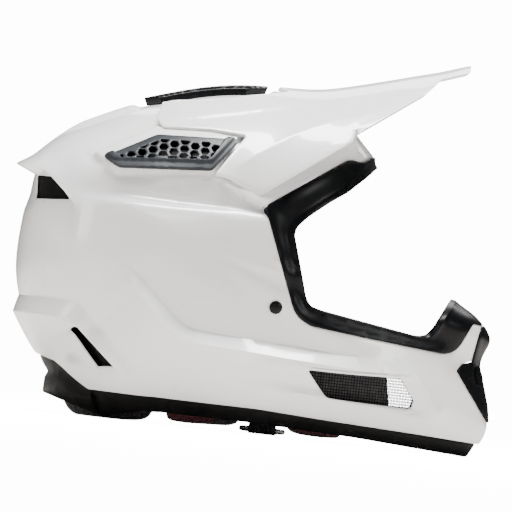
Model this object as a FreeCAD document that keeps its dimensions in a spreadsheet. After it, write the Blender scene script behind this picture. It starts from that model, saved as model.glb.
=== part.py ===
"""A full-face off-road (motocross) helmet as a bench assembly, in millimetres.

+X points forward, +Z up and the rider's left is +Y. The helmet stands on its base trim at z = 0.
Its freeform pieces are layers of one form. The form is an egg whose slices at constant y are copies of
one outline on the centre plane, shrunk towards a pole beside the ear, so an inset copy nests inside it
and pieces in neighbouring layers never meet. Side-view outlines then cut each layer to its piece.
"""

import FreeCAD, Part
import math
import os

import Sketcher

V = FreeCAD.Vector
doc = FreeCAD.newDocument("motocross_helmet")

# ---------------------------------------------------------------- driving dimensions
SHEET_ROWS = [
    ("half_width", 126, "half of the shell's width"),
    ("centre_shift", 3.18, "moves every part so that the origin is under the middle of the length"),
    ("shell_wall", 4, "shell, measured towards the pole"),
    ("pod_rise", 4.5, "how far the raised panels stand off the form"),
    ("spine_rise", 3.5, "ridge along the crown"),
    ("trim_depth", 9, "how deep the base trim reaches inwards"),
    ("eye_trim_depth", 5.8, "depth of the eyeport trim"),
    ("trim_proud", 0.8, "how far trims stand proud of the shell"),
    ("screen_inset", 4.3, "outer face of the vent screens"),
    ("screen_wall", 1, "thickness of the vent screens"),
    ("liner_inset", 7, "outer face of the impact liner"),
    ("liner_depth", 30, "inner face of the impact liner"),
    ("chin_liner_depth", 21, "inner face of the chin bar's liner"),
    ("pad_gap", 0.5, "gap between liner and comfort pads"),
    ("crown_pad_wall", 8, "crown pad thickness"),
    ("neck_roll_wall", 14, "neck roll thickness"),
    ("visor_gap", 3, "visor clear of the shell"),
    ("visor_wall", 3, "visor thickness"),
    ("vent_frame_gap", 4.8, "underside of the side vent frame"),
    ("vent_frame_rise", 8.3, "top of the side vent frame"),
    ("mouth_cover_rise", 8, "how far the vee over the mouth stands off the form"),
    ("hex_pitch", 6.9, "hexagon spacing in the side vents"),
    ("hex_radius", 3.1, "corner radius of a hexagonal hole"),
    ("rivet_cap_radius", 4.8, "strap rivet's domed cap"),
    ("rivet_shank_radius", 2.5, "strap rivet's shank"),
    ("rivet_cap_rise", 1.8, "height of the rivet's cap"),
    ("rivet_length", 8.6, "rivet from under its cap to its tail"),
    ("strap_width", 20, "chin strap webbing width"),
    ("strap_thickness", 2, "chin strap webbing thickness"),
    ("ring_wire", 3, "D-ring wire diameter"),
    ("ring_width", 30.8, "outer D-ring, between wire centres"),
    ("ring_reach", 22, "outer D-ring, bar to the far wire"),
    ("small_ring_width", 24, "inner D-ring, between wire centres"),
    ("small_ring_reach", 13, "inner D-ring, bar to the far wire"),
    ("magnet_radius", 6, "visor magnet radius"),
    ("magnet_height", 2, "visor magnet height"),
    ("keeper_height", 2.8, "steel keeper under the visor"),
    ("snap_radius", 6.5, "pad snap flange radius"),
    ("snap_height", 1.6, "pad snap flange height"),
    ("stud_radius", 2.6, "pad snap stud radius"),
    ("stud_height", 3.4, "pad snap from its flange to its stud's tip"),
    ("notch_width", 37, "notch in a cheek pad for the strap and its rings"),
    ("notch_height", 28, "top of that notch above the table"),
    ("strap_snap_radius", 6, "strap snap radius"),
    ("strap_snap_height", 2.2, "strap snap height"),
]
sheet = doc.addObject("Spreadsheet::Sheet", "sizes")
for row, (alias, value, meaning) in enumerate(SHEET_ROWS, start=1):
    sheet.set(f"A{row}", str(value))
    sheet.setAlias(f"A{row}", alias)
    sheet.set(f"B{row}", meaning)
doc.recompute()


def size(alias):
    """A driving dimension from the sheet."""
    return float(sheet.get(alias))


# ---------------------------------------------------------------- the helmet's form
POLE_X, POLE_Z = -52.0, 132.0  # where the form is widest, beside the ear
# Outline on the centre plane (x, z). It closes below the neck and across the face, where nothing is built.
CENTRE_OUTLINE = [
    (-181, 122), (-180, 98), (-174, 76), (-166, 56), (-157, 40), (-150, 29), (-147.5, 17), (-138, -2),
    (-121, -26), (-92, -46), (-52, -54), (0, -58), (55, -54), (105, -42), (140, -22), (161, 0),
    (174, 26), (169, 43), (163, 60), (164.5, 79), (165, 94), (157, 103), (141, 115), (124, 136),
    (108, 158), (92, 181), (75.5, 204.5), (59, 222), (38, 238), (12, 246), (-20, 247), (-55, 242),
    (-90, 232), (-112, 224.5), (-133, 215), (-155, 203.5), (-170, 190), (-176.5, 172), (-179, 148),
]
OUTLINE_STEPS = 60
CHIN_ANGLE, CHIN_SPREAD = math.radians(-27), math.radians(60)
ROUND_POWERS, CHIN_POWERS = (2.0, 2.1), (1.5, 1.43)  # the slices are round, but pointed towards the chin
SECTION_PARAMETERS = [float(i) for i in range(OUTLINE_STEPS + 1)]
SLICES = [0, 0.18, 0.38, 0.58, 0.75, 0.87, 0.95, 0.985, 0.9985]
PERIOD = 2 * math.pi
GRAPH_SCALE = 100.0  # stretches angles so that the outline's graph is evenly scaled


def to_polar(point):
    """(angle, distance) of an outline point, seen from the pole."""
    dx, dz = point[0] - POLE_X, point[1] - POLE_Z
    return math.atan2(dz, dx), math.hypot(dx, dz)


def outline_graph():
    """The centre outline as many (angle, radius) pairs along one smooth curve."""
    polar = sorted(to_polar(p) for p in CENTRE_OUTLINE)
    before = [(a - PERIOD, r) for a, r in polar[-3:]]
    after = [(a + PERIOD, r) for a, r in polar[:4]]
    curve = Part.BSplineCurve()
    curve.interpolate([V(a * GRAPH_SCALE, r, 0) for a, r in before + polar + after])
    first, last, count = curve.FirstParameter, curve.LastParameter, 2000
    points = [curve.value(first + (last - first) * i / count) for i in range(count + 1)]
    return [(p.x / GRAPH_SCALE, p.y) for p in points]


GRAPH = outline_graph()


def outline_radius(angle):
    """Distance from the pole to the centre outline at an angle."""
    for (a0, r0), (a1, r1) in zip(GRAPH, GRAPH[1:]):
        if a0 <= angle < a1:
            return r0 + (r1 - r0) * (angle - a0) / (a1 - a0)
    raise ValueError("angle outside the outline")


ANGLES = [-math.pi + PERIOD * i / OUTLINE_STEPS for i in range(OUTLINE_STEPS)]
RADII = [outline_radius(a) for a in ANGLES]


def powers(angle):
    """The slice's two powers at an angle: (along the radius, across the width)."""
    away = abs((angle - CHIN_ANGLE + math.pi) % PERIOD - math.pi)
    share = 0.5 + 0.5 * math.cos(min(away / CHIN_SPREAD, 1) * math.pi)
    return tuple(a + (b - a) * share for a, b in zip(ROUND_POWERS, CHIN_POWERS))


def half_width_at(x, z, inset=0.0):
    """Half of the form's width at a side-view point."""
    angle, distance = to_polar((x, z))
    along, across = powers(angle)
    share = min(distance / (outline_radius(angle) - inset), 1)
    return (size("half_width") - inset) * (1 - share**along) ** (1 / across)


forms, layers, node_names = {}, {}, []


def form(inset):
    """The closed form, moved inwards by inset (outwards if negative)."""
    if inset not in forms:
        wires = []
        for share in [-s for s in reversed(SLICES[1:])] + SLICES:
            points = []
            for angle, radius in zip(ANGLES, RADII):
                along, across = powers(angle)
                reach = (radius - inset) * (1 - abs(share) ** across) ** (1 / along)
                y = (size("half_width") - inset) * share
                points.append(V(POLE_X + reach * math.cos(angle), y, POLE_Z + reach * math.sin(angle)))
            curve = Part.BSplineCurve()
            # Every section gets the same parameters, or the loft's knots multiply.
            curve.interpolate(Points=points, Parameters=SECTION_PARAMETERS, PeriodicFlag=True)
            wires.append(Part.Wire([curve.toShape()]))
        forms[inset] = Part.makeLoft(wires, True, False)
    return forms[inset]


def layer(outer, inner):
    """The solid between two insets of the form."""
    if (outer, inner) not in layers:
        layers[(outer, inner)] = form(outer).cut(form(inner))
    return layers[(outer, inner)]


FAR = 260.0  # beyond the helmet on every side


def side_prism(points, y0=-FAR, y1=FAR):
    """A side-view (x, z) outline, carried across the width."""
    corners = [V(x, y0, z) for x, z in points]
    return Part.Face(Part.makePolygon(corners + corners[:1])).extrude(V(0, y1 - y0, 0))


def plan_prism(points, z0=-FAR, z1=2 * FAR):
    """A plan-view (x, y) outline, carried upwards."""
    corners = [V(x, y, z0) for x, y in points]
    return Part.Face(Part.makePolygon(corners + corners[:1])).extrude(V(0, 0, z1 - z0))


def front_prism(points, x0, x1):
    """A front-view (y, z) outline, carried forwards."""
    corners = [V(x0, y, z) for y, z in points]
    return Part.Face(Part.makePolygon(corners + corners[:1])).extrude(V(x1 - x0, 0, 0))


def mirrored_plan(points):
    """A plan outline given for y > 0, front to back, closed with its mirror image."""
    return points + [(x, -y) for x, y in reversed(points)]


def half(shape, side):
    """The part of a shape on the rider's right (side -1) or left (side 1)."""
    y0 = 0 if side > 0 else -FAR
    return shape.common(Part.makeBox(2 * FAR, FAR, 2 * FAR, V(-FAR, y0, -FAR)))


def only_solids(shape):
    """One solid, or a compound of the solids, with no leftover faces."""
    solids = [s for s in shape.Solids if s.Volume > 1]
    return solids[0] if len(solids) == 1 else Part.makeCompound(solids)


def node(label, shape):
    """Adds a sub-part whose shape is worked out here from the sheet."""
    feature = doc.addObject("Part::Feature", label)
    feature.Label = label
    feature.Shape = only_solids(shape)
    feature.Placement = FreeCAD.Placement()
    node_names.append(label)
    return feature


# ---------------------------------------------------------------- side-view outlines (x, z)
EYE_OPENING = [
    (FAR, 188), (70, 211), (62.6, 205.3), (53.1, 206.9), (-2.2, 167.4), (-3.3, 164.2), (24.7, 93.4),
    (29.4, 87.7), (38.4, 82.9), (137.2, 73.2), (143.6, 75.2), (148.3, 80.4), (156.3, 97.8),
    (160, 97), (FAR, 97),
]
EYE_INNER = [
    (FAR, 170), (75.6, 204.6), (67.3, 195.1), (54.4, 182.6), (42.1, 173.7), (27.5, 161.4), (20.5, 153.5),
    (19.1, 148), (26.2, 124.7), (32.5, 103.2), (36.5, 97.5), (45.2, 94.7), (118.5, 83.4),
    (125.5, 84.5), (130.5, 91), (141.6, 114.2), (FAR, 120),
]
BASE_LINE = [(-157.5, 41.5), (-144.2, 37.6), (-117, 20.2), (5.1, 19.5), (166.7, 10.2)]
BELOW_BASE = [(-FAR, -FAR), (-FAR, 41.5)] + BASE_LINE + [(FAR, 8), (FAR, -FAR)]
TRIM_FOOT = [
    (167, 10.1), (162, 0.4), (159.9, 0), (80, 5.4), (6.4, 8.2), (-61.7, 8.5), (-79.5, 7.4),
    (-88, 5.4), (-107.4, 0),
]
COLLAR = [
    (-157.5, 41.4), (-157.5, 38.9), (-149.3, 29.3), (-153.4, 18.6), (-150.8, 16.5), (-107.4, 0),
    (-117, 20.2), (-144.2, 37.6),
]
SIDE_POD = [(-134, 189), (-89, 212.6), (-28, 214), (-46, 184.8), (-114, 178.5)]
VENT_FRAME = [
    (-124.6, 190.4), (-88.2, 210.3), (-31.8, 212.8), (-29.3, 209.8), (-45.4, 188), (-112.9, 182.9),
    (-115.2, 183.3), (-124.2, 188.2),
]
VENT_WINDOW = [(-115.4, 191.8), (-84.8, 206.9), (-37.9, 208.5), (-49.5, 194), (-112.1, 188.1)]
SPOILER = [
    (-186.4, 178.6), (-174.5, 190), (-160, 205), (-125, 205), (-128, 168), (-141.4, 155),
    (-160.3, 172.2), (-169.4, 177.8),
]
REAR_VENT = [(-173.2, 170.8), (-160.8, 171), (-147.1, 155.7), (-172, 153.5)]
REAR_POD = [
    (-179.9, 73.2), (-177, 82.5), (-137, 82.2), (-127, 78.5), (-116, 66.5), (-72, 25.8),
    (-72, 19.7), (-117, 20.2), (-144.2, 37.6), (-157.5, 41.5),
]
REAR_SLOT = [(-134.9, 62), (-130.3, 63.8), (-101, 38.2), (-112.2, 36.1)]
CHIN_POD = [(-23, 61), (35, 58), (114, 57), (134, 31), (132, 24.3), (53, 34.6), (-7.4, 37.4)]
SEE_THROUGH = [(97, 52.5), (107.8, 52.1), (120, 36.5), (118.1, 30.4), (101, 31.5)]
CHIN_WINDOW = [(37.6, 52.9), (107.8, 52.1), (120, 36.5), (118.1, 30.4), (52.6, 34.8)]
MOUTH_COVER = [
    (167.2, 94.6), (172.3, 90.5), (167.8, 59.1), (179.9, 30.8), (175.8, 26), (149.6, 61.5),
    (152.8, 66.7), (160.1, 68.8),
]
MOUTH_GAP = [(5, 67), (12, 64.5), (14.5, 60), (11.5, 53), (5, 53)]  # (y, z)
MOUTH_GRILLE = [(0, 77), (24, 71), (28, 60), (21, 45), (-21, 45), (-28, 60), (-24, 71)]  # (y, z)
MOUTH_WINDOW = [(0, 74), (20, 68), (24, 60), (18, 48), (-18, 48), (-24, 60), (-20, 68)]  # (y, z)
VISOR_OUTLINE = [
    (FAR, 320), (FAR, 265), (134.5, 278), (113.1, 271.5), (102.6, 259), (57.1, 225.7), (55.1, 229),
    (53.6, 219.2), (-7.7, 174), (-11.2, 173), (-32.3, 183.8), (-43.1, 185.3), (-23.6, 215.4),
    (-50, 217.4), (-84.7, 215.4), (-89.6, 220.9), (-87, 236), (-80, 320),
]

# plan-view outlines (x, y), rider's left half, front to back
SPINE_PLAN = mirrored_plan([(-4.5, 30), (-60, 27), (-120, 20), (-150, 10)])
TOP_VENT_PLAN = mirrored_plan([(-12.5, 10), (-27, 23), (-89, 20), (-100, 8)])
VISOR_GAP_PLAN = mirrored_plan([(-3.5, 34), (-10, 39), (-38, 50), (-63, 47), (-80, 40), (-122, 30)])
VISOR_PLAN = mirrored_plan([(134.2, 14), (127, 42), (113.5, 72), (60, 140), (-110, 140)])


# ---------------------------------------------------------------- shell, trims and vents
def hex_holes():
    """Hexagonal holes across the side vent's window, as side-view prisms."""
    pitch, radius = size("hex_pitch"), size("hex_radius")
    origin = V(-112.5, 0, 190.5)
    across, up = V(1, 0, 0.04), V(0.5, 0, 0.86)
    holes = []
    for row in range(4):
        for column in range(-2, 12):
            centre = origin + across * (pitch * column) + up * (pitch * row)
            corners = [
                (centre.x + radius * math.cos(math.radians(60 * k)),
                  centre.z + radius * math.sin(math.radians(60 * k)))
                for k in range(6)
            ]
            if all(inside(corner, VENT_WINDOW) for corner in corners):
                holes.append(side_prism(corners))
    return holes


def inside(point, outline):
    """Whether a side-view point lies within a closed outline."""
    x, z = point
    crossings = 0
    for (x0, z0), (x1, z1) in zip(outline, outline[1:] + outline[:1]):
        if (z0 > z) != (z1 > z) and x < x0 + (x1 - x0) * (z - z0) / (z1 - z0):
            crossings += 1
    return crossings % 2 == 1


def build_shell():
    """Outer shell with its raised panels, then the eyeport, the neck opening and the vents cut through."""
    wall, rise = size("shell_wall"), size("pod_rise")
    shell = layer(0.0, wall)
    raised = layer(-rise, 2.0)
    for outline in (SIDE_POD, REAR_POD, CHIN_POD):
        shell = shell.fuse(raised.common(side_prism(outline)))
    shell = shell.fuse(layer(-11.0, 2.0).common(side_prism(SPOILER)))
    spine = layer(-size("spine_rise"), 2.0).common(plan_prism(SPINE_PLAN, 190))
    shell = shell.fuse(spine)
    for outline in (EYE_OPENING, BELOW_BASE, VENT_WINDOW, REAR_VENT, REAR_SLOT, CHIN_WINDOW):
        shell = shell.cut(side_prism(outline))
    shell = shell.cut(front_prism(MOUTH_WINDOW, 140, FAR))
    node("outer_shell", shell)


def build_trims():
    """Eyeport trim with its nose guard, base trim and rear collar."""
    proud = size("trim_proud")
    ring = layer(-proud, size("eye_trim_depth")).common(side_prism(EYE_OPENING))
    ring = ring.cut(side_prism(EYE_INNER)).common(Part.makeBox(2 * FAR, 2 * FAR, FAR, V(-FAR, -FAR, 60)))
    nose = [(131.5, 60), (131.5, 125), (FAR, 125), (FAR, 60)]
    node("eyeport_trim", ring.cut(side_prism(nose)))
    node("nose_guard", ring.common(side_prism(nose)))
    band = layer(-0.3, size("trim_depth"))
    node("base_trim", band.common(side_prism(BASE_LINE[2:] + TRIM_FOOT)))
    node("rear_collar", layer(-4.5, size("trim_depth")).common(side_prism(COLLAR)))


def build_vents():
    """Vent frames and covers outside the shell, and wire screens behind its openings."""
    screen = layer(size("screen_inset"), size("screen_inset") + size("screen_wall"))
    frame = layer(-size("vent_frame_rise"), -size("vent_frame_gap")).common(side_prism(VENT_FRAME))
    frame = frame.cut(Part.makeCompound(hex_holes()))
    margins = {
        "side_vent_screen": [(-122, 191), (-87, 212), (-32, 213), (-30, 206), (-46, 186), (-114, 182)],
        "rear_vent_screen": [(-175, 174), (-157, 174), (-142, 153), (-150, 150), (-175, 150)],
        "rear_slot_screen": [(-139, 62), (-133, 68), (-127, 68), (-96, 38), (-98, 33), (-114, 33)],
        "chin_vent_screen": [(32, 56), (109, 56), (124, 37), (121, 27), (51, 31)],
    }
    for side, word in ((-1, "right"), (1, "left")):
        node(f"side_vent_frame_{word}", half(frame, side))
        for label, outline in margins.items():
            away = 20 if label == "rear_vent_screen" else 8
            clear = Part.makeBox(2 * FAR, 2 * away, 2 * FAR, V(-FAR, -away, -FAR))
            node(f"{label}_{word}", half(screen.common(side_prism(outline)).cut(clear), side))
    top = layer(-size("spine_rise") - 3, -size("spine_rise") - 0.3)
    node("top_vent_cover", top.common(plan_prism(TOP_VENT_PLAN, 190)))
    cover = layer(-size("mouth_cover_rise"), -0.2).common(side_prism(MOUTH_COVER))
    for sign in (-1, 1):
        cover = cover.cut(front_prism([(sign * y, z) for y, z in MOUTH_GAP], 140, FAR))
    node("mouth_vent_cover", cover)
    grille_area = front_prism(MOUTH_GRILLE, 140, FAR)
    node("mouth_vent_grille", screen.common(grille_area))


# ---------------------------------------------------------------- visor
# Half sections across the visor, each at one x: lower edge, crease, inner ridge and centre as (y, z).
def section_on_form(x, *heights):
    """A visor section that continues the arms' outer skin: the form's half widths at these heights."""
    rise = size("visor_gap") + size("visor_wall")
    return tuple([x] + [(half_width_at(x, z, -rise), z) for z in heights] + [(0, 253.5)])


VISOR_SECTIONS = [
    section_on_form(-3, 175, 212, 248),
    (27, (104, 199.6), (101, 227.8), (36, 253.6), (0, 255.5)),
    (54, (93, 222), (91, 235.3), (32, 258.6), (0, 261)),
    (80, (85, 242), (84, 250), (28, 265.6), (0, 268.2)),
    (103, (77.5, 258.5), (77, 263.7), (24, 272.6), (0, 274.8)),
    (114, (73, 269), (72.5, 271.5), (22, 276.6), (0, 278.2)),
    (136, (62, 279), (61.5, 280.5), (20, 284), (0, 285.3)),
]


def visor_section(x, edge, crease, ridge, centre):
    """A closed section of the visor's wall: its outer skin, then its inner skin back again."""
    wall = size("visor_wall")
    outer = [edge, crease, ridge, centre]
    inner = [
        (edge[0] - wall, edge[1]), (crease[0] - wall, crease[1] - wall * 0.8),
        (ridge[0] - 1, ridge[1] - wall), (0, centre[1] - wall),
    ]
    skin = [(-y, z) for y, z in outer] + [(y, z) for y, z in reversed(outer[:3])]
    lining = inner + [(-y, z) for y, z in reversed(inner[:3])]
    corners = [V(x, y, z) for y, z in skin + lining]
    return Part.makePolygon(corners + corners[:1])


def build_visor():
    """The bill, its wings beside the brow and the two arms that run back along the crown."""
    gap, wall = size("visor_gap"), size("visor_wall")
    bill = Part.makeLoft([visor_section(*row) for row in VISOR_SECTIONS], True, True)
    bill = bill.cut(form(-gap)).cut(form(-gap - 0.2))
    rear = layer(-gap - wall, -gap).common(side_prism(VISOR_OUTLINE))
    rear = rear.common(Part.makeBox(FAR - 1, 2 * FAR, 2 * FAR, V(-FAR, -FAR, 0)))
    rear = rear.cut(plan_prism(VISOR_GAP_PLAN, 150))
    visor = bill.fuse(rear).common(side_prism(VISOR_OUTLINE)).common(plan_prism(VISOR_PLAN, 100))
    node("visor", visor)


# ---------------------------------------------------------------- liners and pads
def strap_slot(side, extra):
    """The strap's run through the cheek pad, with room round it, and its way over the base trim."""
    width = size("strap_width") + 2 * extra
    points = strap_run(side, extra)
    return front_prism(points, STRAP_X - width / 2, STRAP_X + width / 2)


STRAP_X = 11.2  # the chin strap hangs below its rivet, at this x
STRAP_LEVEL = 20.2  # underside of the strap where it passes over the base trim
PAD_FACE = 52.0  # inner face of the cheek pads, from the centre plane
RIVET_Z = 93.8


def strap_run(side, extra=0.0):
    """The strap from the shell's wall to just past the cheek pad's inner face, as a (y, z) outline."""
    low, high = STRAP_LEVEL - extra, STRAP_LEVEL + size("strap_thickness") + extra
    outer = half_width_at(STRAP_X, STRAP_LEVEL, size("screen_inset") + 1.5)
    inner = PAD_FACE - 1.5 - extra
    return [(side * outer, low), (side * outer, high), (side * inner, high - 0.4), (side * inner, low - 0.4)]


# plan outlines (x, y) of a cheek pad, for y > 0: its lower half's outer face, then its inner face
PAD_OUTER = [(-66, 81), (-10, 81), (12, 78), (44, 69), (78, 54)]
PAD_INNER = [(70, 45), (22, PAD_FACE - 2), (-22, 58), (-58, 66), (-66, 72)]
PAD_POCKET = [(-67, 20), (-67, 82), (-9, 82), (12.5, 79), (44.5, 70), (79, 55.2), (79, 20)]
PAD_SIDE = [(-90, 1), (84, 1), (84, 68), (32, 80), (14, 93), (4, 108), (-50, 112), (-90, 90)]  # (x, z)
PAD_TOP = 113.0


def pad_snap_places(side):
    """Where a cheek pad's snaps sit on the liner's inner face."""
    upper = half_width_at(-48, 88, size("liner_depth"))
    return [V(-48, side * 82, 34), V(22, side * 76.3, 60), V(-48, side * upper, 88)]


def build_liners():
    """Foam impact liner in the crown and in the chin bar, cut back round the pads, straps and chin vents."""
    inset, depth = size("liner_inset"), size("liner_depth")
    above_base = [
        (-FAR, 44), (-158, 44), (-145, 41), (-118, 24.5), (5, 24.5), (166, 16), (FAR, 16),
        (FAR, 2 * FAR), (-FAR, 2 * FAR),
    ]
    room = side_prism(above_base).cut(side_prism(EYE_INNER))
    crown_side = [
        (34, -FAR), (34, 97), (22, 130), (30, 158), (80, 200), (80, 2 * FAR), (-FAR, 2 * FAR),
        (-FAR, -FAR),
    ]
    crown = layer(inset, depth).common(room).common(side_prism(crown_side))
    pockets = [plan_prism([(x, side * y) for x, y in PAD_POCKET], -20, PAD_TOP) for side in (-1, 1)]
    slots = [strap_slot(side, 1.0) for side in (-1, 1)]
    crown = crown.cut(pockets + slots)
    node("crown_liner", crown)
    chin_side = [(35, -FAR), (35, 120), (FAR, 160), (FAR, -FAR)]
    chin = layer(inset, size("chin_liner_depth")).common(room).common(side_prism(chin_side))
    chin = chin.cut([side_prism(SEE_THROUGH), front_prism(MOUTH_WINDOW, 120, FAR)] + pockets)
    node("chin_liner", chin)


def build_pads():
    """Comfort lining: crown pad, brow pad, neck roll and two cheek pads."""
    outer = size("liner_depth") + size("pad_gap")
    lining = layer(outer, outer + size("crown_pad_wall"))
    clear_of_face = side_prism(EYE_INNER)
    above = [(-FAR, 116), (8, 116), (8, 2 * FAR), (-FAR, 2 * FAR)]
    node("crown_pad", lining.common(side_prism(above)).cut(clear_of_face))
    brow = [(8.5, 166), (8.5, 2 * FAR), (90, 2 * FAR), (90, 166)]
    node("brow_pad", lining.common(side_prism(brow)).cut(clear_of_face))
    roll = layer(size("trim_depth") + 1.2, size("trim_depth") + 1.2 + size("neck_roll_wall") * 2)
    low = [(-160, 39.5), (-160, 0.8), (-68.5, 0.8), (-68.5, 23.4), (-119, 23.4), (-144, 38.4)]
    node("neck_roll", roll.common(side_prism(low)))
    for side, word in ((-1, "right"), (1, "left")):
        wide = plan_prism([(x, side * y) for x, y in [(-66, FAR), (78, FAR)] + PAD_INNER])
        narrow = plan_prism([(x, side * y) for x, y in PAD_OUTER + PAD_INNER])
        pad = wide.common(form(size("liner_depth") + 1)).fuse(narrow).common(side_prism(PAD_SIDE))
        notch = Part.makeBox(size("notch_width"), 2 * FAR, size("notch_height"))
        notch.translate(V(STRAP_X - size("notch_width") / 2, -FAR, 0))
        tools = [notch]
        for place in pad_snap_places(side):
            depth = size("stud_height") + 1
            tools.append(Part.makeCylinder(size("stud_radius") + 0.5, depth, place, V(0, -side, 0)))
            foot = place + V(0, side * size("snap_height"), 0)
            pocket_radius = size("snap_radius") + 0.5
            pocket_depth = size("snap_height") + 0.6
            tools.append(Part.makeCylinder(pocket_radius, pocket_depth, foot, V(0, -side, 0)))
        node(f"cheek_pad_{word}", pad.cut(tools))


# ---------------------------------------------------------------- small hardware as PartDesign bodies
def origin_plane(body, role):
    """One of a body's own origin planes."""
    return next(f for f in body.Origin.OriginFeatures if f.Role == role)


def outline_sketch(body, name, role, corners):
    """A closed polygon sketch. Each corner is (x expression, y expression), and "0" puts it on an axis."""
    sketch = body.newObject("Sketcher::SketchObject", name)
    sketch.AttachmentSupport = (origin_plane(body, role), [""])
    sketch.MapMode = "FlatFace"
    values = [tuple(sheet_value(e) for e in corner) for corner in corners]
    for (x0, y0), (x1, y1) in zip(values, values[1:] + values[:1]):
        sketch.addGeometry(Part.LineSegment(V(x0, y0, 0), V(x1, y1, 0)), False)
    count = len(corners)
    for i in range(count):
        sketch.addConstraint(Sketcher.Constraint("Coincident", i, 2, (i + 1) % count, 1))
    for i, corner in enumerate(corners):
        for kind, axis, expression in (("DistanceX", -2, corner[0]), ("DistanceY", -1, corner[1])):
            if expression == "0":
                sketch.addConstraint(Sketcher.Constraint("PointOnObject", i, 1, axis))
                continue
            number = sketch.addConstraint(Sketcher.Constraint(kind, -1, 1, i, 1, sheet_value(expression)))
            sketch.setExpression(f"Constraints[{number}]", expression)
    return sketch


def sheet_value(expression):
    """The number that a simple expression over the sheet gives."""
    names = {alias: size(alias) for alias, _, _ in SHEET_ROWS}
    total = 0.0
    for term in expression.replace("-", "+-").split("+"):
        sign = -1 if term.startswith("-") else 1
        word = term.lstrip("-").strip()
        if word:
            factors = [names[w[6:]] if w.startswith("sizes.") else float(w) for w in word.split("*")]
            total += sign * math.prod(factors)
    return total


def facing(point, direction):
    """A placement that puts a piece's origin at a point and turns its +Z along a direction."""
    return FreeCAD.Placement(V(*point), FreeCAD.Rotation(V(0, 0, 1), V(*direction)))


def disc(label, radius, height, placement):
    """A Part cylinder whose sizes follow the sheet."""
    cylinder = doc.addObject("Part::Cylinder", label)
    cylinder.Label = label
    cylinder.setExpression("Radius", f"sizes.{radius}")
    cylinder.setExpression("Height", f"sizes.{height}")
    cylinder.Placement = placement
    return cylinder


def group(label, members):
    """One node of several like pieces, each its own solid."""
    compound = doc.addObject("Part::Compound", label)
    compound.Label = label
    compound.Links = members
    node_names.append(label)
    return compound


def cut_from(label, tools):
    """Cuts tools out of a node that is already made."""
    target = doc.getObject(label)
    target.Shape = only_solids(target.Shape.cut(tools))


CATCH_PLACES = ((-64, 225), (-22, 197))  # side-view (x, z)


def build_visor_catches():
    """Magnets let into the shell, and the steel keepers that face them under the visor."""
    radius = size("magnet_radius")
    magnets, keepers, pockets, recesses = [], [], [], []
    for x, z in CATCH_PLACES:
        for side, word in ((-1, "right"), (1, "left")):
            seat = V(x, side * half_width_at(x, z), z)
            normal = surface_normal(x, z, side)
            foot = seat - normal * (size("magnet_height") + 0.4)
            keeper_foot = seat + normal * 0.4
            place = facing(foot, normal)
            magnets.append(disc(f"magnet_{-x}_{word}", "magnet_radius", "magnet_height", place))
            place = facing(keeper_foot, normal)
            keepers.append(disc(f"keeper_{-x}_{word}", "magnet_radius", "keeper_height", place))
            pockets.append(Part.makeCylinder(radius + 0.1, 6, foot, normal))
            recess_depth = size("keeper_height") + 0.05
            recesses.append(Part.makeCylinder(radius + 0.1, recess_depth, keeper_foot, normal))
    group("visor_magnets", magnets)
    group("visor_keepers", keepers)
    cut_from("outer_shell", pockets)
    cut_from("visor", recesses)


def build_pad_snaps():
    """Snaps in the liner that the cheek pads press on to: a flange let into the foam, and a stud."""
    for side, word in ((-1, "right"), (1, "left")):
        members, pockets = [], []
        inwards = V(0, -side, 0)
        for number, place in enumerate(pad_snap_places(side), start=1):
            foot = place - inwards * size("snap_height")
            place = facing(foot, inwards)
            members.append(disc(f"flange_{number}_{word}", "snap_radius", "snap_height", place))
            members.append(disc(f"stud_{number}_{word}", "stud_radius", "stud_height", facing(foot, inwards)))
            pockets.append(Part.makeCylinder(size("snap_radius") + 0.1, 8, foot, inwards))
        group(f"pad_snaps_{word}", members)
        cut_from("crown_liner", pockets)


def turned_body(label, corners, placement):
    """A body revolved about its own Z axis from a half section (radius, height)."""
    body = doc.addObject("PartDesign::Body", label)
    body.Label = label
    sketch = outline_sketch(body, f"{label}_section", "XZ_Plane", corners)
    turn = body.newObject("PartDesign::Revolution", f"{label}_turn")
    turn.Profile = sketch
    turn.ReferenceAxis = (sketch, ["V_Axis"])
    turn.Angle = 360
    body.Tip = turn
    body.Placement = placement
    node_names.append(label)
    return body


def surface_normal(x, z, side):
    """Outward normal of the form at a side-view point."""
    step = 0.5
    dx = (half_width_at(x + step, z) - half_width_at(x - step, z)) / (2 * step)
    dz = (half_width_at(x, z + step) - half_width_at(x, z - step)) / (2 * step)
    normal = V(-dx, side, -dz)
    return normal.normalize()


RIVET = [
    ("0", "sizes.rivet_cap_rise"), ("0.6*sizes.rivet_cap_radius", "0.8*sizes.rivet_cap_rise"),
    ("sizes.rivet_cap_radius", "0.3*sizes.rivet_cap_rise"), ("sizes.rivet_cap_radius", "0"),
    ("sizes.rivet_shank_radius", "0"), ("sizes.rivet_shank_radius", "-sizes.rivet_length"),
    ("0", "-sizes.rivet_length"),
]


def build_rivets():
    """The strap's rivets, through the shell and the strap's upper end, with a hole cut for each shank."""
    clearance = size("rivet_shank_radius") + 0.1
    for side, word in ((-1, "right"), (1, "left")):
        normal = surface_normal(STRAP_X, RIVET_Z, side)
        seat = V(STRAP_X, side * (half_width_at(STRAP_X, RIVET_Z) + 0.6), RIVET_Z)
        turned_body(f"strap_rivet_{word}", RIVET, facing(seat, normal))
        bore = Part.makeCylinder(clearance, 14, seat + normal * 1.0, normal * -1)
        for label in ("outer_shell", f"strap_anchor_{word}", "crown_liner"):
            target = doc.getObject(label)
            target.Shape = only_solids(target.Shape.cut(bore))


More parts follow.
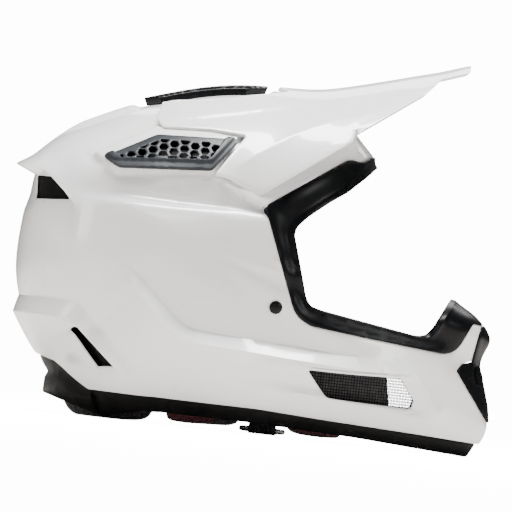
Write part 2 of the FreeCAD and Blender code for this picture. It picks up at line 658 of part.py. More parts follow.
def build_straps():
    """Chin strap: anchored ends behind the shell, and free ends that drop to the table."""
    wall = layer(size("screen_inset") + 0.2, size("screen_inset") + 0.2 + size("strap_thickness") - 0.2)
    reach = size("strap_width") / 2
    low, high = (STRAP_X - reach, STRAP_LEVEL), (STRAP_X + reach, 104)
    column = [low, (low[0], high[1]), high, (high[0], low[1])]
    for side, word in ((-1, "right"), (1, "left")):
        upper = half(wall.common(side_prism(column)), side)
        lower = front_prism(strap_run(side), STRAP_X - reach, STRAP_X + reach)
        node(f"strap_anchor_{word}", upper.fuse(lower))
    run = (STRAP_X - reach, STRAP_X + reach)
    to_loop = front_prism(free_strap(-1, LOOP_END - 1, LOOP_Z + size("strap_thickness") / 2), *run)
    node("strap_right", to_loop.fuse(ring_loop()))
    tail = front_prism(free_strap(1, 10, 2.9), *run)
    fold = [(10, 0.5), (10, 4.7), (52, 7.5), (52, 5.5), (12, 2.6), (12, 2.4)]
    node("strap_left", tail.fuse(front_prism(fold, *run)))


STRAP_END = 34.0  # the right strap's ring loop, from the centre plane
HINGE_Y, HINGE_Z = PAD_FACE - 6, 19.5  # each free strap swings about this line, beside its pad
LOOP_Z = 4.4  # centre height of the ring loop
LOOP_END = STRAP_END + 4.0  # where the strap meets its loop


def free_strap(side, end, end_level):
    """The free strap from its hinge down to its end, as a (y, z) outline with the webbing's thickness."""
    thick = size("strap_thickness")
    start = [(HINGE_Y, HINGE_Z + thick / 2), (HINGE_Y - 4, HINGE_Z - 1)]
    top = start + [(end + 4, end_level), (end, end_level)]
    low = [(y, z - thick) for y, z in reversed(top)]
    return [(side * y, z) for y, z in top + low]


def ring_loop():
    """The sewn loop that holds both D-rings: a flat tube along X."""
    reach = size("strap_width") / 2
    y, z = -STRAP_END, LOOP_Z
    outer = Part.makeBox(2 * reach, 13.5, 7.4, V(STRAP_X - reach, y - 4, z - 3.7))
    inner = Part.makeBox(2 * reach + 2, 10.1, 4.3, V(STRAP_X - reach - 1, y - 2.2, z - 2.15))
    return outer.cut(inner)


def ring_body(label, width, reach, y):
    """A D-ring of round wire: a straight bar, two short sides and a half-round end, swept in one pass."""
    body = doc.addObject("PartDesign::Body", label)
    body.Label = label
    path = body.newObject("Sketcher::SketchObject", f"{label}_path")
    path.AttachmentSupport = (origin_plane(body, "XY_Plane"), [""])
    path.MapMode = "FlatFace"
    w, r = size(width) / 2, size(reach)
    corner = 4.0
    end = 8.0
    arcs = [
        Part.LineSegment(V(-w + corner, 0, 0), V(w - corner, 0, 0)),
        Part.ArcOfCircle(Part.Circle(V(w - corner, corner, 0), V(0, 0, 1), corner), -math.pi / 2, 0),
        Part.LineSegment(V(w, corner, 0), V(w, r - end, 0)),
        Part.ArcOfCircle(Part.Circle(V(w - end, r - end, 0), V(0, 0, 1), end), 0, math.pi / 2),
        Part.LineSegment(V(w - end, r, 0), V(-w + end, r, 0)),
        Part.ArcOfCircle(Part.Circle(V(-w + end, r - end, 0), V(0, 0, 1), end), math.pi / 2, math.pi),
        Part.LineSegment(V(-w, r - end, 0), V(-w, corner, 0)),
        Part.ArcOfCircle(Part.Circle(V(-w + corner, corner, 0), V(0, 0, 1), corner), math.pi, 1.5 * math.pi),
    ]
    for arc in arcs:
        path.addGeometry(arc, False)
    wire = body.newObject("Sketcher::SketchObject", f"{label}_wire")
    wire.AttachmentSupport = (origin_plane(body, "YZ_Plane"), [""])
    wire.MapMode = "FlatFace"
    wire.addGeometry(Part.Circle(V(0, 0, 0), V(0, 0, 1), size("ring_wire") / 2), False)
    wire.addConstraint(Sketcher.Constraint("Coincident", 0, 3, -1, 1))
    number = wire.addConstraint(Sketcher.Constraint("Diameter", 0, size("ring_wire")))
    wire.setExpression(f"Constraints[{number}]", "sizes.ring_wire")
    pipe = body.newObject("PartDesign::AdditivePipe", f"{label}_sweep")
    pipe.Profile = wire
    pipe.Spine = (path, [f"Edge{i + 1}" for i in range(len(arcs))])
    pipe.Transition = "Transformed"
    body.Tip = pipe
    node_names.append(label)
    body.Placement = FreeCAD.Placement(V(STRAP_X, y, LOOP_Z), FreeCAD.Rotation(V(1, 0, 0), RING_DROOP))
    return body


RING_DROOP = -4.0  # the rings lean down to the table, in degrees
BAR_GAP = 5.4  # between the two D-rings' bars


def build_rings():
    """Two nested D-rings in the right strap's loop."""
    ring_body("d_ring_outer", "ring_width", "ring_reach", -STRAP_END)
    ring_body("d_ring_inner", "small_ring_width", "small_ring_reach", -STRAP_END + BAR_GAP)


STRAP_SNAP = [
    ("0", "0"), ("0", "sizes.strap_snap_height"), ("0.7*sizes.strap_snap_radius", "sizes.strap_snap_height"),
    ("sizes.strap_snap_radius", "0.5*sizes.strap_snap_height"), ("sizes.strap_snap_radius", "0"),
]


def main():
    build_shell()
    build_trims()
    build_vents()
    build_visor()
    build_liners()
    build_pads()
    build_straps()
    build_rivets()
    build_visor_catches()
    build_pad_snaps()
    build_rings()
    turned_body("strap_snap", STRAP_SNAP, facing((STRAP_X, 42, 7.2), (0, -0.07, 1)))
    centre_parts()
    doc.recompute()
    write_parts()


def centre_parts():
    """Moves every sub-part so that the origin is under the middle of the helmet's length."""
    move = FreeCAD.Placement(V(size("centre_shift"), 0, 0), FreeCAD.Rotation())
    for label in node_names:
        thing = doc.getObject(label)
        thing.Placement = move * thing.Placement


def write_parts():
    """Checks every object, then writes one STEP file for each sub-part."""
    for thing in doc.Objects:
        bad = [word for word in thing.State if word in ("Invalid", "Error")]
        if bad:
            raise RuntimeError(f"{thing.Label} is {bad}")
    os.makedirs("parts", exist_ok=True)
    for old in os.listdir("parts"):
        os.remove(os.path.join("parts", old))
    for label in node_names:
        thing = doc.getObject(label)
        shape = thing.Shape
        if shape.isNull() or not shape.isValid() or not shape.Solids:
            raise RuntimeError(f"{thing.Label} has no valid solid")
        shape.exportStep(os.path.join("parts", f"{thing.Label}.step"))
        print(f"{thing.Label}: {len(shape.Solids)} solid(s), {shape.Volume / 1000:.2f} cm3")


main()
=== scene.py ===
"""Looks for the motocross helmet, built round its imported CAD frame.

The helmet's skins share one mapping, as in the CAD: a closed egg about a pole beside the ear. A point of the
egg is (angle, lift), and a disc of those two is flat enough to triangulate. Lengths here are in millimetres
until a mesh is made.
"""

import math

import bmesh
import bpy
import numpy as np
from mathutils import Matrix, Vector, kdtree
from mathutils.geometry import delaunay_2d_cdt


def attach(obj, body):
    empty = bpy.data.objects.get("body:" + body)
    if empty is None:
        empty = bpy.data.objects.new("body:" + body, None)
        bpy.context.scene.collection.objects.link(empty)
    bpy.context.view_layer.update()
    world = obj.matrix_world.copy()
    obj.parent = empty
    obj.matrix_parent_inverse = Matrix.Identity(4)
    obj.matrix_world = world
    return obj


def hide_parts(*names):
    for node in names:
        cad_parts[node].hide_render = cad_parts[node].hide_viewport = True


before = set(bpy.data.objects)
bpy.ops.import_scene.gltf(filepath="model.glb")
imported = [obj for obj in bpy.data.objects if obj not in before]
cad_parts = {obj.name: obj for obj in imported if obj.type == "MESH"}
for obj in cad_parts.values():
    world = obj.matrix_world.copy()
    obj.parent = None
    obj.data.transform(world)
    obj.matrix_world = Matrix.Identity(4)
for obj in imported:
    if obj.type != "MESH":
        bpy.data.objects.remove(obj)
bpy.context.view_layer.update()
MM = 0.001
SHARP_ANGLE = math.radians(38)  # a sharper edge than this keeps its line
WELD = 0.00002  # points closer than this, in metres, are made one
SHIFT = np.array([3.18, 0, 0])  # the forms below are drawn about another point than the frame's origin

# ------------------------------------------------------------------ the helmet's forms
POLE = np.array([-52.0, 132.0])
DISC = 190.0  # radius of the flat disc that stands for half of a form
HALVINGS = 40  # steps of a search for a point on a form
CENTRE_OUTLINE = [
    (-181, 122), (-180, 98), (-174, 76), (-166, 56), (-157, 40), (-150, 29), (-147.5, 17), (-138, -2),
    (-121, -26), (-92, -46), (-52, -54), (0, -58), (55, -54), (105, -42), (140, -22), (161, 0),
    (174, 26), (169, 43), (163, 60), (164.5, 79), (165, 94), (157, 103), (141, 115), (124, 136),
    (108, 158), (92, 181), (75.5, 204.5), (59, 222), (38, 238), (12, 246), (-20, 247), (-55, 242),
    (-90, 232), (-112, 224.5), (-133, 215), (-155, 203.5), (-170, 190), (-176.5, 172), (-179, 148),
]
# The visor's own outline: clear of the crown at the back, then on past the peak's tip.
VISOR_OUTLINE_POINTS = [
    (-181, 122), (-180, 98), (-166, 56), (-138, -2), (-52, -54), (55, -54), (140, -22), (190, 30),
    (215, 100), (228, 180), (215, 240), (186, 279), (160, 288), (134.5, 284.9), (115.7, 278.8),
    (92, 271.8), (68.9, 265.4), (50, 260.4), (33.2, 256.4), (8.4, 253.6), (-20, 252.6), (-55, 247.6),
    (-90, 237.6), (-112, 230), (-133, 220.5), (-170, 195), (-179, 148),
]


def smooth(t):
    """A smooth step from 0 to 1."""
    t = np.clip(t, 0.0, 1.0)
    return t * t * (3 - 2 * t)


def periodic_spline(knots, values):
    """A closed cubic spline, as a function of any angle."""
    n = len(knots)
    step = np.diff(np.append(knots, knots[0] + 2 * math.pi))
    slope = np.diff(np.append(values, values[0])) / step
    system, target = np.zeros((n, n)), np.zeros(n)
    for i in range(n):
        before = (i - 1) % n
        system[i, before] = step[before]
        system[i, i] = 2 * (step[before] + step[i])
        system[i, (i + 1) % n] = step[i]
        target[i] = 6 * (slope[i] - slope[before])
    bend = np.linalg.solve(system, target)

    def at(angle):
        angle = (np.asarray(angle, float) - knots[0]) % (2 * math.pi) + knots[0]
        i = np.clip(np.searchsorted(knots, angle, side="right") - 1, 0, n - 1)
        j = (i + 1) % n
        a, b = (angle - knots[i]), (knots[i] + step[i] - angle)
        cubic = (bend[i] * b**3 + bend[j] * a**3) / (6 * step[i])
        line = (values[i] / step[i] - bend[i] * step[i] / 6) * b
        return cubic + line + (values[j] / step[i] - bend[j] * step[i] / 6) * a

    return at


class Form:
    """A closed egg: its centre outline's radius, its half width and its two powers, all by angle."""

    def __init__(self, outline, width, powers):
        offsets = np.array(outline) - POLE
        angle, radius = np.arctan2(offsets[:, 1], offsets[:, 0]), np.hypot(*offsets.T)
        order = np.argsort(angle)
        self.radius = periodic_spline(angle[order], radius[order])
        self.width, self.powers = width, powers

    def place(self, disc, rise=0.0):
        """Points in space for points of the disc, standing off the form by rise."""
        disc = np.asarray(disc, float)
        angle = np.arctan2(disc[:, 1], disc[:, 0])
        lift = np.clip(np.hypot(*disc.T) / DISC, 0, 1) * math.pi / 2
        along, across = self.powers(angle)
        reach = (self.radius(angle) + rise) * np.sin(lift) ** (2 / along)
        y = (self.width(angle) + rise) * np.clip(np.cos(lift), 0, 1) ** (2 / across)
        return np.stack([POLE[0] + reach * np.cos(angle), y, POLE[1] + reach * np.sin(angle)], 1)

    def from_side(self, points, rise=0.0):
        """Disc points for side-view (x, z) points. Those off the form fall outside the disc."""
        offsets = np.asarray(points, float) - POLE
        angle, distance = np.arctan2(offsets[:, 1], offsets[:, 0]), np.hypot(*offsets.T)
        share = distance / (self.radius(angle) + rise)
        along, _ = self.powers(angle)
        lift = np.arcsin(np.clip(share, 0, 1) ** (along / 2)) / (math.pi / 2)
        lift = np.where(share > 1, share, lift)
        return np.stack([np.cos(angle), np.sin(angle)], 1) * (lift * DISC)[:, None]

    def half_width(self, x, z, rise=0.0):
        """Half width of the form at a side-view point."""
        return self.place(self.from_side([(x, z)], rise), rise)[0, 1]

    def from_plan(self, points, rise=0.0):
        """Disc points for plan (x, y) points of the crown."""
        found = []
        for x, y in points:
            low, high = 150.0, 300.0
            for _ in range(HALVINGS):
                middle = (low + high) / 2
                low, high = (middle, high) if self.half_width(x, middle, rise) > y else (low, middle)
            found.append((x, low))
        return self.from_side(found, rise)

    def from_front(self, points, rise=0.0):
        """Disc points for front-view (y, z) points of the chin bar."""
        found = []
        for y, z in points:
            low, high = 60.0, 220.0
            for _ in range(HALVINGS):
                middle = (low + high) / 2
                low, high = (middle, high) if self.half_width(middle, z, rise) > y else (low, middle)
            found.append((low, z))
        return self.from_side(found, rise)


def window(angle, centre, spread):
    """1 at a centre angle, falling smoothly to 0 at spread degrees away."""
    away = np.abs((angle - math.radians(centre) + math.pi) % (2 * math.pi) - math.pi)
    return 0.5 + 0.5 * np.cos(np.clip(away / math.radians(spread), 0, 1) * math.pi)


def shell_powers(angle):
    share = window(angle, -27, 60)
    return 2.0 - 0.5 * share, 2.1 - 0.67 * share


def visor_powers(angle):
    share = window(angle, 38, 45)
    return 2.0 + 0.4 * share, np.full_like(share, 2.1)


SHELL = Form(CENTRE_OUTLINE, lambda angle: 126.0 + 0 * angle, shell_powers)
VISOR = Form(VISOR_OUTLINE_POINTS, lambda angle: 132.0 - 14 * window(angle, 38, 45), visor_powers)


# ------------------------------------------------------------------ flat geometry
def sampled(points, spacing=2.0, closed=True):
    """A polyline with extra points, no further apart than spacing."""
    points = [np.array(p, float) for p in points]
    ends = points[1:] + points[:1] if closed else points[1:]
    found = []
    for start, end in zip(points, ends):
        count = max(1, int(np.linalg.norm(end - start) / spacing))
        found += [start + (end - start) * i / count for i in range(count)]
    return found if closed else found + [points[-1]]


def rounded(points, radius=3.0, steps=4):
    """A closed outline with its corners rounded off."""
    found = []
    count = len(points)
    for i in range(count):
        corner = np.array(points[i], float)
        back, on = np.array(points[i - 1], float) - corner, np.array(points[(i + 1) % count], float) - corner
        cut = min(radius, 0.42 * np.linalg.norm(back), 0.42 * np.linalg.norm(on))
        start, end = corner + back / np.linalg.norm(back) * cut, corner + on / np.linalg.norm(on) * cut
        for k in range(steps + 1):
            t = k / steps
            found.append((1 - t) ** 2 * start + 2 * t * (1 - t) * corner + t * t * end)
    return found


def inside(points, polygon):
    """Which points lie within a closed polygon."""
    points, polygon = np.asarray(points), np.asarray(polygon)
    x, z = points[:, 0], points[:, 1]
    found = np.zeros(len(points), bool)
    for (x0, z0), (x1, z1) in zip(polygon, np.roll(polygon, -1, 0)):
        crosses = (z0 > z) != (z1 > z)
        with np.errstate(divide="ignore", invalid="ignore"):
            found ^= crosses & (x < x0 + (x1 - x0) * (z - z0) / (z1 - z0))
    return found


def nearest(points, line, closed=False):
    """(distance to a polyline, which side: positive on its left, share of the way along it)."""
    points, line = np.asarray(points, float), np.asarray(line, float)
    if closed:
        line = np.vstack([line, line[:1]])
    lengths = np.linalg.norm(np.diff(line, axis=0), axis=1)
    before = np.concatenate([[0], np.cumsum(lengths)])
    best, side, along = np.full(len(points), 1e9), np.zeros(len(points)), np.zeros(len(points))
    for i, (start, end) in enumerate(zip(line, line[1:])):
        run = end - start
        t = np.clip(((points - start) @ run) / max(run @ run, 1e-9), 0, 1)
        gap = points - (start + t[:, None] * run)
        distance = np.hypot(*gap.T)
        closer = distance < best
        cross = run[0] * (points[:, 1] - start[1]) - run[1] * (points[:, 0] - start[0])
        best = np.where(closer, distance, best)
        side = np.where(closer, np.sign(cross), side)
        along = np.where(closer, (before[i] + t * lengths[i]) / before[-1], along)
    return best, side, along


def depth_in(points, polygon):
    """Distance into a closed polygon: positive inside and negative outside."""
    distance = nearest(points, polygon, closed=True)[0]
    return np.where(inside(points, polygon), distance, -distance)


def across(points, line):
    """Signed distance from an open polyline: positive on its left, negative on its right."""
    distance, side, along = nearest(points, line)
    return distance * side, along


# ------------------------------------------------------------------ skins
def mesh_object(name, verts, faces, material):
    """A smooth-shaded mesh object from millimetre points, with sharp edges kept sharp."""
    mesh = bpy.data.meshes.new(name)
    mesh.from_pydata([tuple(v) for v in (np.asarray(verts) + SHIFT) * MM], [], faces)
    mesh.validate()
    mesh.update()
    mesh.shade_smooth()
    mesh.set_sharp_from_angle(angle=SHARP_ANGLE)
    thing = bpy.data.objects.new(name, mesh)
    bpy.context.collection.objects.link(thing)
    mesh.materials.append(material)
    return thing


def triangulate(form, loops, holes, creases, spacing):
    """Disc points and triangles that fill the loops, less the holes, with creases kept as edges."""
    lines = [(np.asarray(loop), True) for loop in list(loops) + list(holes)]
    lines += [(np.asarray(line), False) for line in creases]
    steps = int(2 * math.pi * DISC / (spacing * 0.9))
    turn = np.arange(steps) / steps * 2 * math.pi
    lines.append((np.stack([np.cos(turn), np.sin(turn)], 1) * DISC, True))
    points, edges = [], []
    for line, closed in lines:
        first = len(points)
        points += [tuple(p) for p in line]
        edges += [(first + i, first + i + 1) for i in range(len(line) - 1)]
        if closed:
            edges.append((len(points) - 1, first))
    tree = kdtree.KDTree(len(points))
    for i, (x, y) in enumerate(points):
        tree.insert((x, y, 0), i)
    tree.balance()
    reach = int(DISC / spacing) + 2
    grid = [
        ((i + 0.5 * (j % 2)) * spacing, j * spacing * 0.866)
        for j in range(-2 * reach, 2 * reach) for i in range(-reach, reach)
    ]
    grid = np.array(grid)
    grid = grid[np.hypot(*grid.T) < DISC - 0.5 * spacing]
    within = np.zeros(len(grid), bool)
    for loop in loops:
        within |= inside(grid, loop)
    grid = [tuple(p) for p in grid[within] if tree.find((p[0], p[1], 0))[2] > 0.55 * spacing]
    verts, _, faces, _, _, _ = delaunay_2d_cdt([Vector(p) for p in points + grid], edges, [], 0, 1e-4)
    verts = np.array([tuple(v) for v in verts])
    faces = np.array([tuple(f) for f in faces])
    centres = verts[faces].mean(1)
    keep = np.zeros(len(faces), bool)
    for loop in loops:
        keep |= inside(centres, loop)
    for hole in holes:
        keep &= ~inside(centres, hole)
    keep &= np.hypot(*centres.T) < DISC - 1e-3
    faces = faces[keep]
    used = np.unique(faces)
    renumber = np.full(len(verts), -1)
    renumber[used] = np.arange(len(used))
    return verts[used], renumber[faces]


def skin(name, material, form, loops, outer, inner, holes=(), creases=(), spacing=2.6, edge=0.8, mirror=True):
    """A closed solid that hugs a form, from outer(points) down to inner(points), both in mm off the form.

    loops, holes and creases are disc polylines. Both functions get (side-view points, half widths).
    """
    rims = list(loops) + list(holes)
    rings = []
    if edge:
        for loop in rims:
            loop = np.asarray(loop)
            tangent = np.roll(loop, -1, 0) - np.roll(loop, 1, 0)
            normal = np.stack([-tangent[:, 1], tangent[:, 0]], 1)
            normal /= np.maximum(np.linalg.norm(normal, axis=1), 1e-6)[:, None]
            for distance in (0.35 * edge, edge):
                for sign in (-1, 1):
                    ring = loop + normal * distance * sign
                    clear = nearest(ring, loop, closed=True)[0] > 0.9 * distance
                    rings += runs_of(ring, clear)
    disc, faces = triangulate(form, loops, holes, list(creases) + rings, spacing)
    base = form.place(disc)
    side, half = base[:, [0, 2]], base[:, 1]
    top, under = outer(side, half), inner(side, half)
    if edge:
        gap = np.full(len(disc), 1e9)
        for loop in rims:
            gap = np.minimum(gap, nearest(disc, loop, closed=True)[0])
        turn = np.clip(1 - gap / edge, 0, 1)
        top = top - edge * (1 - np.sqrt(np.maximum(1 - turn**2, 0)))
    above, below = form.place(disc, top), form.place(disc, under)
    on_centre = np.hypot(*disc.T) > DISC - 1e-3
    above[on_centre, 1] = 0
    below[on_centre, 1] = 0
    count = len(disc)
    verts = np.vstack([above, below])
    shape = [tuple(f) for f in faces] + [tuple(f[::-1] + count) for f in faces]
    seen = {}
    for f in faces:
        for a, b in ((f[0], f[1]), (f[1], f[2]), (f[2], f[0])):
            seen[(a, b)] = True
    for a, b in seen:
        if (b, a) not in seen and not (on_centre[a] and on_centre[b]):
            shape.append((b, a, a + count, b + count))
    shape = [tuple(int(i) for i in f) for f in shape]
    if not mirror:
        return recalculated(mesh_object(name, verts, shape, material))
    twin = np.arange(2 * count) + 2 * count
    centre = np.concatenate([on_centre, on_centre])
    twin[centre] = np.arange(2 * count)[centre]
    flipped = [tuple(int(twin[i]) for i in reversed(f)) for f in shape]
    verts = np.vstack([verts, verts * [1, -1, 1]])
    return recalculated(mesh_object(name, verts, shape + flipped, material))


def runs_of(points, keep):
    """The stretches of a polyline where keep holds."""
    found, run = [], []
    for point, wanted in zip(points, keep):
        if wanted:
            run.append(point)
        elif len(run) > 1:
            found.append(np.array(run))
            run = []
        else:
            run = []
    if len(run) > 1:
        found.append(np.array(run))
    return found


def recalculated(thing):
    """The object, with its faces all pointing outwards and its loose points dropped."""
    work = bmesh.new()
    work.from_mesh(thing.data)
    bmesh.ops.remove_doubles(work, verts=work.verts, dist=WELD)
    loose = [v for v in work.verts if not v.link_faces]
    bmesh.ops.delete(work, geom=loose, context="VERTS")
    bmesh.ops.recalc_face_normals(work, faces=work.faces)
    work.to_mesh(thing.data)
    work.free()
    thing.data.shade_smooth()
    thing.data.set_sharp_from_angle(angle=SHARP_ANGLE)
    return thing


# ------------------------------------------------------------------ side-view outlines (x, z)
FAR = 300.0
EYE_OPENING = [
    (FAR, 190), (70, 211), (62.6, 205.3), (53.1, 206.9), (-2.2, 167.4), (-3.3, 164.2), (24.7, 93.4),
    (29.4, 87.7), (38.4, 82.9), (137.2, 73.2), (143.6, 75.2), (148.3, 80.4), (156.3, 97.8), (160, 97), (FAR, 97),
]
EYE_INNER = [
    (FAR, 170), (75.6, 204.6), (67.3, 195.1), (54.4, 182.6), (42.1, 173.7), (27.5, 161.4), (20.5, 153.5),
    (19.1, 148), (26.2, 124.7), (32.5, 103.2), (36.5, 97.5), (45.2, 94.7), (118.5, 83.4),
    (125.5, 84.5), (130.5, 91), (141.6, 114.2), (FAR, 120),
]
BASE_LINE = [(-157.5, 41.5), (-144.2, 37.6), (-117, 20.2), (5.1, 19.5), (166.7, 10.2)]
BELOW_BASE = [(-FAR, 41.5)] + BASE_LINE + [(FAR, 8), (FAR, -FAR), (-FAR, -FAR)]
VENT_FRAME = [
    (-124.6, 190.4), (-88.2, 210.3), (-31.8, 212.8), (-29.3, 209.8), (-45.4, 188), (-112.9, 182.9),
    (-115.2, 183.3), (-124.2, 188.2),
]
VENT_WINDOW = [(-115.6, 191.4), (-85, 207.2), (-38, 209.2), (-47.5, 193.6), (-111.3, 188)]
SIDE_POD = [(-134.6, 189.3), (-89.2, 215), (-24, 217.3), (-43.1, 185.3), (-45.4, 184.4), (-114.2, 178.5)]
POD_CREASE = [(-134.6, 189.3), (-114.2, 178.5), (-45.4, 184.4), (-11.7, 170.8), (-3.1, 166.4), (20, 158)]
BAND_TOP = [
    (-141, 189), (-133.9, 182.4), (-124, 172.5), (-116.7, 168.4), (-107, 166.8), (-79.2, 165.7),
    (-11, 164.2), (20, 163),
]
BAND_FOOT = [
    (-160.3, 172.2), (-141.4, 153.4), (-131, 154.6), (-121.4, 156.2), (-102.2, 155.9), (-66.2, 155.7),
    (-10.1, 156), (20, 156),
]
REAR_VENT = [(-173.2, 170.8), (-160.8, 171), (-147.1, 155.7), (-172, 153.5)]
SPOILER_LINE = [(-200, 171), (-173, 173.4), (-166, 174.6), (-160.3, 171.8), (-141.4, 152.7), (-132, 143)]
REAR_POD = [
    (-195, 82.8), (-177.1, 82.5), (-143, 82.2), (-133, 80.5), (-127.1, 78.5), (-116.2, 66.5),
    (-72.1, 25.8), (-60, 10), (-195, 10),
]
REAR_POD_TOP = [
    (-195, 73.3), (-179.9, 73.3), (-143, 72.8), (-137.3, 71.6), (-128.3, 67.6), (-88.1, 29.5), (-78, 18),
    (-195, 10),
]
REAR_SLOT = [(-135.2, 61.6), (-133, 63.8), (-129.8, 63.9), (-101, 38.2), (-112.6, 36.3)]
SLOT_SCOOP = [(-160, 50), (-139, 66), (-128, 67), (-94, 39), (-86, 29), (-112, 28), (-132, 36)]
CHIN_POD = [
    (-23.3, 61.4), (35, 57.5), (114.1, 57.6), (117, 56.5), (134.6, 31.5), (132.1, 24.3), (53, 34),
    (-7.4, 37.4),
]
CHIN_WINDOW = [(37.6, 52.9), (107.8, 52.1), (120, 36.5), (118.1, 30.4), (52.6, 34.8)]
SWOOSH = [
    (-108, 123), (-102.7, 117.2), (-89.2, 104.3), (-70.6, 88.4), (-64, 81.5), (-57.4, 76.7),
    (-51, 73.4), (-44.8, 71.5), (-26.6, 69.9), (-10, 69.2), (20.4, 67.5), (60.2, 65.3), (90, 63.6),
    (125, 60.5), (150, 57),
]
MOUTH_COVER = [
    (164.6, 96.6), (200, 92.5), (200, 28), (175.8, 26), (149.6, 61.5), (152.8, 66.7), (160.1, 68.8),
]
MOUTH_WINDOW = [(0.01, 74), (20, 68), (24, 60), (18, 48), (0.01, 48)]  # (y, z)
MOUTH_GAP = [(5, 67), (12, 64.5), (14.5, 60), (11.5, 53), (5, 53)]  # (y, z)
TRIM_FOOT = [
    (167, 10.1), (162, 0.4), (159.9, 0), (80, 5.4), (6.4, 8.2), (-61.7, 8.5), (-79.5, 7.4), (-88, 5.4),
    (-107.4, 0),
]
COLLAR = [
    (-157.5, 41.4), (-157.5, 38.9), (-149.3, 29.3), (-153.4, 18.6), (-150.8, 16.5), (-107.4, 0),
    (-117, 20.2), (-144.2, 37.6),
]
RIVET = (11.2, 93.8)
RIVET_HOLE = 2.7  # radius


def fit(piece, slot, *nodes, body="helmet"):
    """Ties a piece to its body and hides the CAD nodes that it stands for. Its colour slot is not used."""
    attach(piece, body)
    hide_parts(*nodes)


def on_side(form, points, rise=0.0, spacing=2.2, closed=True):
    """A side-view polyline as a disc polyline."""
    return form.from_side(sampled(points, spacing, closed), rise)


# ------------------------------------------------------------------ materials
def material(name, base, roughness=0.4, metallic=0.0, coat=0.0, coat_roughness=0.05, sheen=0.0, specular=0.5):
    """A principled material, whose base colour and bump the caller's nodes then drive."""
    made = bpy.data.materials.new(name)
    made.use_nodes = True
    shader = made.node_tree.nodes["Principled BSDF"]
    shader.inputs["Base Color"].default_value = (*base, 1)
    shader.inputs["Roughness"].default_value = roughness
    shader.inputs["Metallic"].default_value = metallic
    shader.inputs["Coat Weight"].default_value = coat
    shader.inputs["Coat Roughness"].default_value = coat_roughness
    shader.inputs["Sheen Weight"].default_value = sheen
    shader.inputs["Specular IOR Level"].default_value = specular
    return made


def add(made, kind, **values):
    """Adds a node to a material and sets its inputs or properties."""
    node = made.node_tree.nodes.new(kind)
    for key, value in values.items():
        label = key.replace("_", " ")
        if label in node.inputs:
            node.inputs[label].default_value = value
        else:
            setattr(node, key, value)
    return node


def join(made, source, target):
    made.node_tree.links.new(source, target)


def object_coordinates(made):
    return add(made, "ShaderNodeTexCoord").outputs["Object"]


def surface(made):
    return made.node_tree.nodes["Principled BSDF"].inputs


def colour_ramp(made, low, high, source):
    """A ramp between two colours, driven by a socket."""
    ramp = add(made, "ShaderNodeValToRGB")
    ramp.color_ramp.elements[0].color, ramp.color_ramp.elements[1].color = (*low, 1), (*high, 1)
    join(made, source, ramp.inputs["Fac"])
    return ramp


def vary(made, low, high, scale):
    """Drives the base colour from noise between two colours."""
    noise = add(made, "ShaderNodeTexNoise", Scale=scale, Detail=4.0)
    join(made, object_coordinates(made), noise.inputs["Vector"])
    ramp = colour_ramp(made, low, high, noise.outputs["Fac"])
    ramp.color_ramp.elements[0].position, ramp.color_ramp.elements[1].position = 0.35, 0.65
    join(made, ramp.outputs["Color"], surface(made)["Base Color"])


def rough_by_noise(made, low, high, scale):
    noise = add(made, "ShaderNodeTexNoise", Scale=scale, Detail=5.0)
    spread = add(made, "ShaderNodeMapRange")
    spread.inputs["From Min"].default_value, spread.inputs["From Max"].default_value = 0.3, 0.7
    spread.inputs["To Min"].default_value, spread.inputs["To Max"].default_value = low, high
    join(made, object_coordinates(made), noise.inputs["Vector"])
    join(made, noise.outputs["Fac"], spread.inputs["Value"])
    join(made, spread.outputs["Result"], surface(made)["Roughness"])


def bump_from(made, height, strength, distance):
    bump = add(made, "ShaderNodeBump", Strength=strength, Distance=distance)
    join(made, height, bump.inputs["Height"])
    join(made, bump.outputs["Normal"], surface(made)["Normal"])


def grain(made, scale, strength, distance):
    noise = add(made, "ShaderNodeTexNoise", Scale=scale, Detail=3.0)
    join(made, object_coordinates(made), noise.inputs["Vector"])
    bump_from(made, noise.outputs["Fac"], strength, distance)


def pearl_white():
    """Pearl white paint under clear lacquer: a faint warm and cool drift, fine flake and orange peel."""
    made = material("pearl_white_paint", (0.8, 0.8, 0.79), 0.32, coat=0.8, coat_roughness=0.06)
    vary(made, (0.77, 0.775, 0.775), (0.82, 0.815, 0.80), 9.0)
    rough_by_noise(made, 0.27, 0.36, 60.0)
    grain(made, 420.0, 0.03, 0.0004)
    return made


def gloss_black():
    made = material("gloss_black_plastic", (0.002, 0.002, 0.003), 0.3, specular=0.12)
    vary(made, (0.0012, 0.0014, 0.0018), (0.003, 0.0033, 0.004), 14.0)
    rough_by_noise(made, 0.26, 0.34, 90.0)
    grain(made, 700.0, 0.03, 0.0003)
    return made


def matt_black():
    """Moulded black rubbery plastic with a fine spark-eroded texture."""
    made = material("matt_black_plastic", (0.002, 0.002, 0.002), 0.5, specular=0.08)
    vary(made, (0.0012, 0.0012, 0.0014), (0.0032, 0.0032, 0.0035), 20.0)
    rough_by_noise(made, 0.40, 0.55, 120.0)
    grain(made, 1500.0, 0.15, 0.0003)
    return made


def slate_plastic():
    made = material("slate_plastic", (0.045, 0.052, 0.060), 0.42, specular=0.25)
    vary(made, (0.014, 0.016, 0.019), (0.022, 0.025, 0.029), 25.0)
    rough_by_noise(made, 0.30, 0.42, 100.0)
    grain(made, 1200.0, 0.06, 0.0003)
    return made


def bead_foam():
    """Expanded bead foam: rounded cells a few millimetres across."""
    made = material("bead_foam", (0.03, 0.03, 0.033), 0.75)
    cells = add(made, "ShaderNodeTexVoronoi", Scale=260.0)
    join(made, object_coordinates(made), cells.inputs["Vector"])
    ramp = colour_ramp(made, (0.045, 0.045, 0.05), (0.015, 0.015, 0.017), cells.outputs["Distance"])
    join(made, ramp.outputs["Color"], surface(made)["Base Color"])
    bump_from(made, cells.outputs["Distance"], 0.5, 0.001)
    return made


